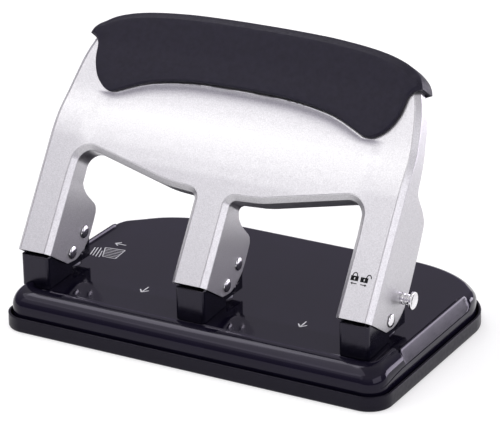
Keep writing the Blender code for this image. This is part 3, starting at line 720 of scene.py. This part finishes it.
def make_chip_tray():
    lip = TRAY_HI.z
    section = arc((1.4, 1.4), (1.4, 1.4), 270, 180, 5)
    section += [(0.0, 4.5), (0.12, 7.0), (0.05, lip - 0.9)]
    section += arc((0.6, lip - 0.5), (0.55, 0.5), 180, 90, 5)
    section += arc((TRAY_WALL - 0.4, lip - 0.4), (0.4, 0.4), 90, 0, 3)
    section += [(TRAY_WALL, 4.0), (TRAY_WALL + 0.3, TRAY_FLOOR + 0.5), (TRAY_WALL + 1.0, TRAY_FLOOR)]
    rows = [tray_row(inset, z) for inset, z in section]
    piece = add_piece("tray_moulding", loft(rows), MATERIALS["tray"], "tray")
    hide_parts("chip_tray")


# ---- handle shell

# Outlines are (x, t); the flanges' depths and the panel's set-back are (t, d)
GRIP_LOWER = [
    (0.0, 120.4), (15.0, 120.25), (29.0, 119.8), (44.0, 118.3), (58.7, 115.7), (68.0, 112.7), (77.0, 108.9),
    (83.5, 106.0),
]
OUTER_DEPTH = [
    (0.0, 25.0), (5.0, 33.3), (10.0, 37.0), (15.0, 39.4), (20.0, 40.8), (28.0, 41.0), (45.0, 40.1),
    (67.0, 37.8), (72.0, 33.2), (81.0, 19.4), (84.5, 18.2), (124.0, 17.0), (135.0, 15.0),
]
INNER_DEPTH = [
    (0.0, 25.0), (5.0, 33.3), (10.0, 37.0), (15.0, 39.4), (20.0, 40.8), (28.0, 41.0), (36.0, 40.5),
    (40.0, 38.0), (44.0, 24.0), (49.0, 17.0), (56.0, 16.0),
]
PANEL_SET_BACK = [
    (75.0, 0.0), (82.0, 0.5), (90.0, 1.7), (97.0, 3.2), (104.0, 4.2), (112.0, 4.7), (124.0, 5.2),
    (135.0, 5.7),
]
DISH_DEPTH = 2.6
DISH_HALF_WIDTH = 100.0
DISH_SOFT_WIDTH = 12.0
DISH_FOOT_T = 66.0
DISH_TOP_T = 116.0
DISH_RIM_WIDTH = 4.5
BEAD_HEIGHT = 0.7
BEAD_WIDTH = 1.2
PANEL_CUTS_T = (
    spaced(46.0, 96.0, 2.0) + spaced(97.0, 101.0, 1.0) + spaced(101.5, 122.5, 0.5)
    + spaced(124.0, 154.0, 3.0)
)
LEG_TOP = 75.0
SHELL_TOP = [(107.7, 135.0), (104.4, 139.4), (98.2, 144.0), (86.0, 148.5), (46.0, 153.8), (0.0, 154.6)]
LEG_STEPS = [0.0, 0.6, 1.3, 2.2, 3.2, 4.4, 6.0, 8.0, 10.0, 12.5, 15.0, 18.0, 21.0, 24.5, 28.0, 32.0, 36.0]


def handle_point(x, t, d):
    """World position of handle coordinates; x is measured from the middle leg."""
    return LEG_FOOT + UP_LEG * t + REARWARD * d + Vector((ROW_CENTRE_X + x, 0.0, 0.0))


def set_back(t):
    """How far the upper panel stands behind the legs' faces."""
    return smooth_table(PANEL_SET_BACK, t)


def panel_dish(x, t):
    """Shallow pressing of the upper panel, with a small bead along the grip's lower edge."""
    below_grip = smooth_table(GRIP_LOWER, abs(x)) - t
    side = smooth_step(-DISH_HALF_WIDTH, DISH_SOFT_WIDTH - DISH_HALF_WIDTH, -abs(x))
    slope = min(1.0, max(0.0, (t - DISH_FOOT_T) / (DISH_TOP_T - DISH_FOOT_T)))
    rim = math.exp(-max(0.0, below_grip - BEAD_WIDTH) / DISH_RIM_WIDTH)
    bead = smooth_step(-75.0, -50.0, x) * smooth_step(-90.0, -84.0, -abs(x))
    bead *= smooth_step(-1.6, 0.6, -below_grip)
    return DISH_DEPTH * slope * side * (1.0 - rim) + BEAD_HEIGHT * bead


def shell_side():
    """Outer edge of the front face, from the right leg's foot over the top to the left leg's foot."""
    leg = [(FACE_OUTER_X, t) for t in LEG_STEPS + spaced(42.0, 66.0, 6.0) + spaced(68.0, 73.6, 1.4)]
    bend = [(FACE_OUTER_X, LEG_TOP), (FACE_OUTER_X - 0.8, 97.0), (111.8, 122.0), SHELL_TOP[0]]
    return mirrored(leg + spline(bend, 14) + spline(SHELL_TOP, 8)[1:])


def window_side(sign):
    """Edge of the front face round the left (-1) or right (1) window, from its left foot to its right."""
    foot = 49.0
    leg = LEG_STEPS + [37.5, *spaced(39.0, 45.0, 1.0), 46.5, foot]
    outer_x = HOLE_SPACING - FACE_HALF_WIDTH
    inner_x = FACE_HALF_WIDTH + 0.2
    outer_corner = (outer_x - 1.0, 73.6)
    top_bend = (32.0, 58.4)
    inner_corner = (inner_x, 56.9)
    points = [(outer_x, t) for t in leg]
    points += fillet((outer_x, foot), outer_corner, top_bend, 12.0, 16)
    points += fillet(outer_corner, top_bend, inner_corner, 60.0, 6)
    points += fillet(top_bend, inner_corner, (inner_x, 0.0), 7.0, 12)
    points += [(inner_x, t) for t in reversed(leg[:-1])]
    if sign > 0:
        return points[::-1]
    return [(-x, t) for x, t in points]


def shell_section(depth):
    """Pressed edge as (offset towards the face, depth): hairline, bevel, flange, rounded rim and back."""
    mitre = (math.sqrt(2.0) - 1.0) * SHEET
    outside = [(0.55, 0.0), (0.42, 0.28), (0.12, 0.28), (0.0, 0.02)]
    bevel = [(-0.12, 0.09), (0.3 - EDGE_BEVEL, EDGE_BEVEL - 0.34), (0.07 - EDGE_BEVEL, EDGE_BEVEL - 0.02)]
    flange = [(-EDGE_BEVEL, EDGE_BEVEL + 0.4), (-EDGE_BEVEL, depth - 0.4), (0.1 - EDGE_BEVEL, depth - 0.12)]
    rim = [(0.35 - EDGE_BEVEL, depth), (SHEET - 0.35 - EDGE_BEVEL, depth)]
    inside = [
        (SHEET - 0.1 - EDGE_BEVEL, depth - 0.12),
        (SHEET - EDGE_BEVEL, depth - 0.4),
        (SHEET - EDGE_BEVEL, EDGE_BEVEL + mitre),
        (mitre, SHEET),
    ]
    return outside + bevel + flange + rim + inside


def chain_rows(bm, chain, depth_table):
    """Rows of vertices in (x, t, d) along one edge of the pressing, from its face round to its back."""
    sections = [shell_section(smooth_table(depth_table, t)) for x, t in chain]
    rows = []
    for k in range(len(sections[0])):
        offsets = [section[k][0] for section in sections]
        places = offset_chain(chain, offsets)
        rows.append([bm.verts.new((x, t, section[k][1])) for (x, t), section in zip(places, sections)])
    for lower, upper in zip(rows, rows[1:]):
        bridge(bm, lower, upper, closed=False)
    return rows


def shell_holes():
    """Cutters for the pivot rivets and the drive pins; the right leg's outer wall passes the lock's neck."""
    reach = LEG_HALF_WIDTH + 5.0
    rivet = RIVET_RADIUS + GAP
    pin = PIN_RADIUS + GAP
    neck = LOCK_NECK_RADIUS + GAP
    cutters = []
    for side, x in ROW_X.items():
        cutters.append(turned([(rivet, -reach), (rivet, reach)], 40, (x, PIVOT.y, PIVOT.z), "X"))
        profile = [(pin, -reach), (pin, reach)]
        if side == "right":
            profile = [(pin, -reach), (pin, 0.0), (neck, 0.0), (neck, reach)]
        cutters.append(turned(profile, 40, (x, DRIVE.y, DRIVE.z), "X"))
    return cutters


def make_handle_shell():
    bm = bmesh.new()
    outside = chain_rows(bm, shell_side(), OUTER_DEPTH)
    left = chain_rows(bm, window_side(-1), INNER_DEPTH)
    right = chain_rows(bm, window_side(1), INNER_DEPTH)
    chains = (outside, left, right)
    front = bm.faces.new([vert for chain in chains for vert in chain[0]])
    back = bm.faces.new([vert for chain in chains for vert in chain[-1]])
    for chain, following in zip(chains, (left, right, outside)):
        end = [row[-1] for row in chain]
        start = [row[0] for row in following]
        bm.faces.new(end + start[::-1])
    bm.normal_update()
    faces = slice_faces(bm, [front, back], 1, PANEL_CUTS_T)
    slice_faces(bm, faces, 0, spaced(-114.0, 114.0, 1.5))
    for vert in bm.verts:
        x, t, d = vert.co
        if d < EDGE_BEVEL + 1.0:
            d += set_back(t) + panel_dish(x, t)
        vert.co = handle_point(x, t, d)
    piece = add_piece("handle_pressing", bm, MATERIALS["silver"], "handle")
    cut(piece, shell_holes())
    even_shading(piece)
    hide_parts("handle_shell")


# ---- grip

GRIP_FRONT = 3.0
GRIP_BACK_D = 21.5
GRIP_HOLLOW_D = 17.9
GRIP_WALL_BACK = 4.0
GRIP_REAR_RADIUS = 2.0
GRIP_EDGE = ((1.0, 0.0), (0.93, 0.01), (0.84, 0.06), (0.5, 0.34), (0.2, 0.62), (0.06, 0.82), (0.0, 1.0))
GRIP_RISE = [
    (83.5, 106.0), (87.6, 105.2), (92.6, 107.3), (98.6, 113.2), (102.4, 121.0), (103.8, 127.0),
    (104.4, 132.0), (106.0, 135.2), (109.2, 137.5),
]
GRIP_TOP = [
    (112.2, 138.9), (110.8, 142.6), (107.2, 146.9), (99.6, 151.8), (90.0, 155.2), (80.0, 157.4),
    (70.0, 158.8), (60.0, 159.8), (46.0, 160.8), (30.0, 161.3), (15.0, 161.55), (0.0, 161.6),
]


def grip_half():
    """Front view of the grip's right half with the radius of its front edge at each point."""
    low_radius = 0.9
    wing_radius = (low_radius, 2.2)
    top_radius = (4.8, 2.0)
    lower = [(point, low_radius) for point in spline(GRIP_LOWER, 8)[:-1]]
    rise = [((x, t), mixed(wing_radius, smooth_step(104.2, 109.2, x))) for x, t in spline(GRIP_RISE, 5)]
    top = [((x, t), mixed(top_radius, smooth_step(104.0, 112.2, x))) for x, t in spline(GRIP_TOP, 6)]
    return lower + rise + top


def handle_solid(rows, t_cuts, x_cuts, front_depth):
    """Solid of rows in (x, t, d), sliced so that its front can follow the panel's set-back."""
    bm = bmesh.new()
    rings = add_rings(bm, rows)
    faces = [bm.faces.new(rings[0]), bm.faces.new(rings[-1])]
    bm.normal_update()
    faces = slice_faces(bm, faces, 1, t_cuts)
    slice_faces(bm, faces, 0, x_cuts)
    for vert in bm.verts:
        x, t, d = vert.co
        if d < front_depth:
            d += set_back(t)
        vert.co = handle_point(x, t, d)
    return bm


def grip_hollow():
    """Cutter that leaves room for the shell's top inside the sleeve."""
    side = [point for point in shell_side() if point[1] > 88.0]
    side = offset_chain(side, [-EDGE_BEVEL - GAP] * len(side))
    rows = [[(x, t, d) for x, t in side] for d in (-GAP, GRIP_HOLLOW_D)]
    return handle_solid(rows, spaced(92.0, 152.0, 4.0), [], 1.0)


def make_handle_grip():
    half = grip_half()
    left = [((-x, t), radius) for (x, t), radius in reversed(half[1:-1])]
    points = [point for point, radius in half + left]
    radii = [radius for point, radius in half + left]
    rows = []
    for inward, backward in GRIP_EDGE:
        places = offset_chain(points, [radius * inward for radius in radii], closed=True)
        rows.append([(x, t, -GRIP_FRONT + r * backward) for (x, t), r in zip(places, radii)])
    for i in range(5):
        angle = math.radians(90.0 * i / 4)
        inset = GRIP_REAR_RADIUS * (1.0 - math.cos(angle))
        depth = GRIP_BACK_D - GRIP_REAR_RADIUS * (1.0 - math.sin(angle))
        places = offset_chain(points, [inset * min(1.0, r / GRIP_REAR_RADIUS) for r in radii], closed=True)
        rows.append([(x, t, depth) for x, t in places])
    sleeve = handle_solid(rows, spaced(104.0, 160.0, 2.5), spaced(-108.0, 108.0, 8.0), GRIP_WALL_BACK)
    piece = add_piece("grip_sleeve", sleeve, MATERIALS["grip"], "handle", sharp=50.0)
    cut(piece, [grip_hollow()])
    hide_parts("handle_grip")


# ---- pins, rivets and springs

TIP_RADIUS = 0.02
SPRING_COILS = 5
SPRING_WIRE_RADIUS = 0.375
SPRING_STEPS = 40
SPRING_RISE = [(0.0, 0.0), (0.14, 0.045), (0.86, 0.955), (1.0, 1.0)]


def domed_rivet(half_length, radius, head_radius, head_height):
    """Shaft with a domed head at both ends."""
    rim = 0.15
    half = [(radius, half_length), (head_radius - rim, half_length), (head_radius, half_length + rim)]
    for i in range(1, 9):
        angle = math.radians(90.0 * i / 8)
        half.append((
            max(head_radius * math.cos(angle) ** 0.75, TIP_RADIUS),
            half_length + rim + (head_height - rim) * math.sin(angle)))
    return [(r, -x) for r, x in reversed(half)] + half


def make_handle_pins():
    radii = {"pivot_rivet_" + side: RIVET_RADIUS for side in SIDES}
    radii |= {"drive_pin_" + side: PIN_RADIUS for side in SIDES[:2]}
    seat = LEG_HALF_WIDTH + GAP
    for name, radius in radii.items():
        lo, hi = node_box(name)
        place = (lo + hi) / 2
        head_radius = (hi.y - lo.y) / 2
        profile = domed_rivet(seat, radius, head_radius, (hi.x - lo.x) / 2 - seat)
        piece = add_piece(name + "_turned", turned(profile, 48, place, "X"), MATERIALS["chrome"], "handle")
        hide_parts(name)


def make_lock_pin():
    """Sliding drive pin with a ringed neck and a disc knob, and the clip on its inner end."""
    lo, hi = node_box("lock_pin")
    disc = (hi.y - lo.y) / 2
    place = Vector((ROW_X["right"], DRIVE.y, DRIVE.z))
    end = hi.x - place.x
    neck = LOCK_NECK_RADIUS
    groove = PIN_RADIUS - 0.35
    inner_end = [
        (TIP_RADIUS, -14.2), (groove, -14.2), (PIN_RADIUS, -13.85), (PIN_RADIUS, -13.3), (groove, -13.3),
        (groove, -12.0), (PIN_RADIUS, -12.0), (PIN_RADIUS, 10.9),
    ]
    ringed_neck = [
        (neck - 0.15, 10.9), (neck, 11.05), (neck, 13.3), (neck - 0.12, 13.5), (neck - 0.55, 13.7),
        (neck - 0.62, 14.0), (neck - 0.55, 14.3), (neck - 0.12, 14.5), (neck, 14.7), (neck, 15.6),
        (neck - 0.12, 15.8), (neck - 0.6, 16.0), (neck - 0.85, 16.5), (neck - 0.85, 17.3),
        (neck - 0.5, 17.85),
    ]
    knob = [
        (disc - 0.35, end - 1.6), (disc - 0.08, end - 1.45), (disc, end - 1.2), (disc, end - 0.45),
        (disc - 0.12, end - 0.15), (disc - 0.45, end), (disc - 0.9, end), (disc - 1.15, end - 0.16),
        (TIP_RADIUS, end - 0.2),
    ]
    pin = turned(inner_end + ringed_neck + knob, 64, place, "X")
    piece = add_piece("lock_pin_turned", pin, MATERIALS["chrome"], "lock", sharp=40.0)
    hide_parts("lock_pin")
    bore = groove + GAP
    rim = 3.9
    clip_section = [
        (bore, -13.0), (rim - 0.15, -13.0), (rim, -12.85), (rim, -12.45), (rim - 0.15, -12.3), (bore, -12.3),
    ]
    clip = turned(clip_section, 48, place, "X", capped=False)
    piece = add_piece("lock_clip_turned", clip, MATERIALS["steel"], "lock")
    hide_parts("lock_pin_clip")


def spring_rows(axis, radius, bottom, top):
    """Round sections of a coil's wire, one after another along its helix."""
    steps = SPRING_COILS * SPRING_STEPS
    rows = []
    for i in range(steps + 1):
        angle = 2 * math.pi * SPRING_COILS * i / steps
        height = bottom + (top - bottom) * smooth_table(SPRING_RISE, i / steps)
        outward = Vector((math.cos(angle), math.sin(angle), 0.0))
        row = []
        for k in range(10):
            turn = 2 * math.pi * k / 10
            reach = radius + SPRING_WIRE_RADIUS * math.cos(turn)
            lift = Vector((0.0, 0.0, height + SPRING_WIRE_RADIUS * math.sin(turn)))
            row.append(axis + outward * reach + lift)
        rows.append(row)
    return rows


def make_return_springs():
    """Coil springs with closed end coils."""
    for side in SIDES:
        name = "return_spring_" + side
        lo, hi = node_box(name)
        axis = Vector((ROW_X[side], PUNCH_Y, 0.0))
        radius = (hi.y - lo.y) / 2 - SPRING_WIRE_RADIUS
        rows = spring_rows(axis, radius, lo.z + SPRING_WIRE_RADIUS, hi.z - SPRING_WIRE_RADIUS)
        piece = add_piece(name + "_coil", loft(rows), MATERIALS["steel"], "base", sharp=60.0)
        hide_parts(name)
        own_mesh(piece)


# ---- prints

PRINT_FOOT = 0.02
PRINT_LIFT = 0.06
ARROW_STROKE = 0.75
SHEET_STROKE = 0.6
HATCH_STROKE = 0.45
PAPER_STACK_EDGES = (
    ((-112.2, -6.9), (-115.2, 3.8)),
    ((-110.0, -7.5), (-113.6, 4.6)),
    ((-107.6, -7.9), (-111.6, 5.0)),
    ((-105.2, -8.0), (-108.6, 1.2)),
)
PAPER_SHEET = ((-103.8, -5.9), (-109.6, 6.6), (-96.2, 8.4), (-94.8, -5.4))


def print_plate(bm, stroke, to_world):
    """Thin closed plate of a flat stroke; to_world places (u, v, height)."""
    for ring in add_rings(bm, [[to_world(u, v, z) for u, v in stroke] for z in (PRINT_FOOT, PRINT_LIFT)]):
        bm.faces.new(ring)


def bar(start, stop, width):
    """Outline of a straight stroke."""
    a = Vector(start)
    b = Vector(stop)
    side = (b - a).normalized().orthogonal() * (width / 2)
    return [tuple(a + side), tuple(b + side), tuple(b - side), tuple(a - side)]


def arrow(tip, tail, width, head):
    """Strokes of an arrow with an open head."""
    tip = Vector(tip)
    back = (Vector(tail) - tip).normalized()
    strokes = [bar(tip + back * width * 0.4, tail, width)]
    for turn in (38.0, -38.0):
        wing = Matrix.Rotation(math.radians(turn), 2) @ back
        strokes.append(bar(tip, tip + wing * head, width))
    return strokes


def make_table_prints():
    def on_table(u, v, height):
        return (u, v, floor_z(u, v) + height)

    bm = bmesh.new()
    strokes = arrow((-107.7, 15.4), (-99.9, 15.4), ARROW_STROKE, 4.2)
    strokes += [bar(foot, head, SHEET_STROKE) for foot, head in PAPER_STACK_EDGES]
    for k in range(4):
        strokes.append(bar(PAPER_SHEET[k], PAPER_SHEET[(k + 1) % 4], SHEET_STROKE))
    near, far, far_end, near_end = (Vector(corner) for corner in PAPER_SHEET)
    for k in range(1, 6):
        strokes.append(bar(near.lerp(far, k / 6), near_end.lerp(far_end, k / 6), HATCH_STROKE))
    for x in (-HOLE_SPACING / 2, HOLE_SPACING / 2):
        strokes += arrow((x, -41.3), (x, -33.0), ARROW_STROKE, 4.6)
    for stroke in strokes:
        print_plate(bm, stroke, on_table)
    piece = add_piece("table_marks", bm, MATERIALS["print_white"], "base")


def padlock_body(left, right, bottom):
    """Plates of a padlock's body, which leave its keyhole open."""
    top = bottom + 2.9
    slot_left = (left + right) / 2 - 0.32
    slot_right = (left + right) / 2 + 0.32
    plates = (
        (left, slot_left, bottom, top),
        (slot_right, right, bottom, top),
        (slot_left, slot_right, top - 0.9, top),
        (slot_left, slot_right, bottom, bottom + 0.8),
    )
    return [[(u0, v0), (u1, v0), (u1, v1), (u0, v1)] for u0, u1, v0, v1 in plates]


def make_lock_prints():
    """Closed and open padlocks with their arrows, on the right leg."""
    def on_leg(u, v, height):
        return handle_point(HOLE_SPACING + u, v, -height)

    bm = bmesh.new()
    strokes = []
    arrow_t = 20.9
    body_t = 22.4
    for left, right, leaning in ((-7.4, -2.6, 0.0), (-1.2, 3.5, 2.6)):
        strokes += padlock_body(left, right, body_t)
        centre = ((left + right) / 2 + leaning, body_t + 2.8)
        strokes.append(arc(centre, (1.75, 2.3), 0, 180, 10) + arc(centre, (1.15, 1.7), 180, 0, 10))
    for tip, tail in ((-6.9, -2.9), (3.4, -0.6)):
        back = tip + math.copysign(1.3, tail - tip)
        strokes.append(bar((back, arrow_t), (tail, arrow_t), 0.5))
        strokes.append([(tip, arrow_t), (back, arrow_t + 0.8), (back, arrow_t - 0.8)])
    for stroke in strokes:
        print_plate(bm, stroke, on_leg)
    piece = add_piece("lock_marks", bm, MATERIALS["print_black"], "handle")


# ---- CAD nodes that stay

CAD_FINISH = {
    "punch_bracket_": ("bracket", 0.6),
    "guide_block_": ("steel", 0.25),
    "guide_rivet_": ("bracket", 0.0),
    "bracket_rivet_": ("steel", 0.0),
    "die_ring_": ("steel", 0.0),
    "punch_pin_": ("steel", 0.0),
}
WELD_DISTANCE = 0.01


def finish_cad_nodes():
    """Give each node that stays its material and soften the edges of the folded and milled ones."""
    for name, node in frame["nodes"].items():
        for prefix, (key, edge) in CAD_FINISH.items():
            if not name.startswith(prefix):
                continue
            node.data.materials.clear()
            node.data.materials.append(MATERIALS[key])
            weld = node.modifiers.new("weld", "WELD")
            weld.merge_threshold = WELD_DISTANCE * MM
            if edge:
                plain = node.modifiers.new("plain", "DECIMATE")
                plain.decimate_type = "DISSOLVE"
                plain.angle_limit = math.radians(1.0)
                bevel = node.modifiers.new("edges", "BEVEL")
                bevel.width = edge * MM
                bevel.segments = 2
                bevel.limit_method = "ANGLE"
                bevel.angle_limit = math.radians(35.0)
                bevel.harden_normals = True


# ---- studio

# Brightness of the surroundings from the horizon (0) to straight above (1)
WORLD_STOPS = ((0.0, 0.24), (0.22, 0.3), (0.38, 0.46), (0.55, 0.62), (0.75, 0.9), (1.0, 0.8))
FLOOR_HALF_SIZE = 9000.0
WHITE = (1.0, 1.0, 1.0)
LILAC = (0.95, 0.9, 1.0)

# Name, direction from the object, distance and size in metres, radiance and colour of each soft box
LIGHTS = (
    ("front_left_box", (-0.46, -0.68, 0.57), 1.6, (1.4, 0.6), 0.72, WHITE),
    ("top_strip", (-0.46, -0.26, 0.85), 1.5, (1.7, 0.9), 1.42, WHITE),
    ("right_box", (0.9, -0.32, 0.36), 1.6, (1.2, 0.8), 2.0, WHITE),
    ("rear_right_box", (0.59, 0.8, 0.1), 1.6, (1.2, 0.46), 7.5, LILAC),
    ("crest_strip", (-0.459, 0.225, 0.859), 1.5, (1.1, 0.34), 3.2, WHITE),
)


def add_area_light(target, name, direction, distance, size, radiance, colour):
    """Soft box seen from a target in a direction; its power follows from the radiance wanted."""
    light = bpy.data.lights.new(name, "AREA")
    light.shape = "RECTANGLE"
    light.size, light.size_y = size
    light.energy = radiance * math.pi * size[0] * size[1]
    light.color = colour
    lamp = bpy.data.objects.new(name, light)
    bpy.context.scene.collection.objects.link(lamp)
    direction = Vector(direction).normalized()
    lamp.location = target + direction * distance
    lamp.rotation_mode = "QUATERNION"
    lamp.rotation_quaternion = direction.to_track_quat("Z", "Y")


def make_world():
    world = bpy.data.worlds.new("studio")
    bpy.context.scene.world = world
    world.use_nodes = True
    tree = world.node_tree
    background = tree.nodes["Background"]
    coordinates = tree.nodes.new("ShaderNodeTexCoord")
    split = tree.nodes.new("ShaderNodeSeparateXYZ")
    ramp = tree.nodes.new("ShaderNodeValToRGB")
    tree.links.new(coordinates.outputs["Generated"], split.inputs["Vector"])
    tree.links.new(split.outputs["Z"], ramp.inputs["Fac"])
    tree.links.new(ramp.outputs["Color"], background.inputs["Color"])
    elements = ramp.color_ramp.elements
    while len(elements) < len(WORLD_STOPS):
        elements.new(0.5)
    for element, (place, level) in zip(elements, WORLD_STOPS):
        element.position = place
        lilac = 0.78 + 0.2 * min(1.0, place * 1.3)
        element.color = (level * (0.5 + lilac / 2), level * lilac, level * (1.95 - lilac), 1.0)
    background.inputs["Strength"].default_value = 1.0


def make_floor():
    bm = bmesh.new()
    corners = ((-1, -1), (1, -1), (1, 1), (-1, 1))
    bm.faces.new([bm.verts.new((x * FLOOR_HALF_SIZE, y * FLOOR_HALF_SIZE, 0.0)) for x, y in corners])
    floor = add_piece("studio_floor", bm, None)
    material = bpy.data.materials.new("pale_floor")
    material.use_nodes = True
    shader = material.node_tree.nodes["Principled BSDF"]
    shader.inputs["Base Color"].default_value = (0.6, 0.6, 0.6, 1.0)
    shader.inputs["Roughness"].default_value = 0.9
    shader.inputs["Specular IOR Level"].default_value = 0.0
    shader.inputs["Emission Color"].default_value = (1.0, 1.0, 1.0, 1.0)
    shader.inputs["Emission Strength"].default_value = 0.46
    floor.data.materials.append(material)


def make_camera():
    """Long lens from the front right and above, aimed by azimuth, elevation and roll."""
    azimuth = math.radians(29.76)
    elevation = math.radians(22.34)
    roll = math.radians(-0.98)
    distance = 1.6
    target = (cad_lo + cad_hi) / 2 + Vector((0.0209, -0.0394, -0.001))
    right = Vector((math.cos(azimuth), math.sin(azimuth), 0.0))
    back = Vector((
        math.sin(azimuth) * math.cos(elevation),
        -math.cos(azimuth) * math.cos(elevation),
        math.sin(elevation)))
    up = back.cross(right)
    rolled_right = right * math.cos(roll) + up * math.sin(roll)
    rolled_up = up * math.cos(roll) - right * math.sin(roll)
    data = bpy.data.cameras.new("camera")
    data.sensor_width = 36.0
    data.lens = 199.02
    data.clip_end = 50.0
    camera = bpy.data.objects.new("camera", data)
    bpy.context.scene.collection.objects.link(camera)
    rotation = Matrix((rolled_right, rolled_up, back)).transposed()
    camera.matrix_world = Matrix.Translation(target + back * distance) @ rotation.to_4x4()
    bpy.context.scene.camera = camera


def make_studio():
    centre = (cad_lo + cad_hi) / 2
    make_world()
    make_floor()
    for light in LIGHTS:
        add_area_light(centre, *light)
    make_camera()
    bpy.context.scene.view_settings.view_transform = "Standard"


make_base_cover()
make_chip_tray()
make_handle_shell()
make_handle_grip()
make_handle_pins()
make_lock_pin()
make_return_springs()
make_table_prints()
make_lock_prints()
finish_cad_nodes()
make_studio()
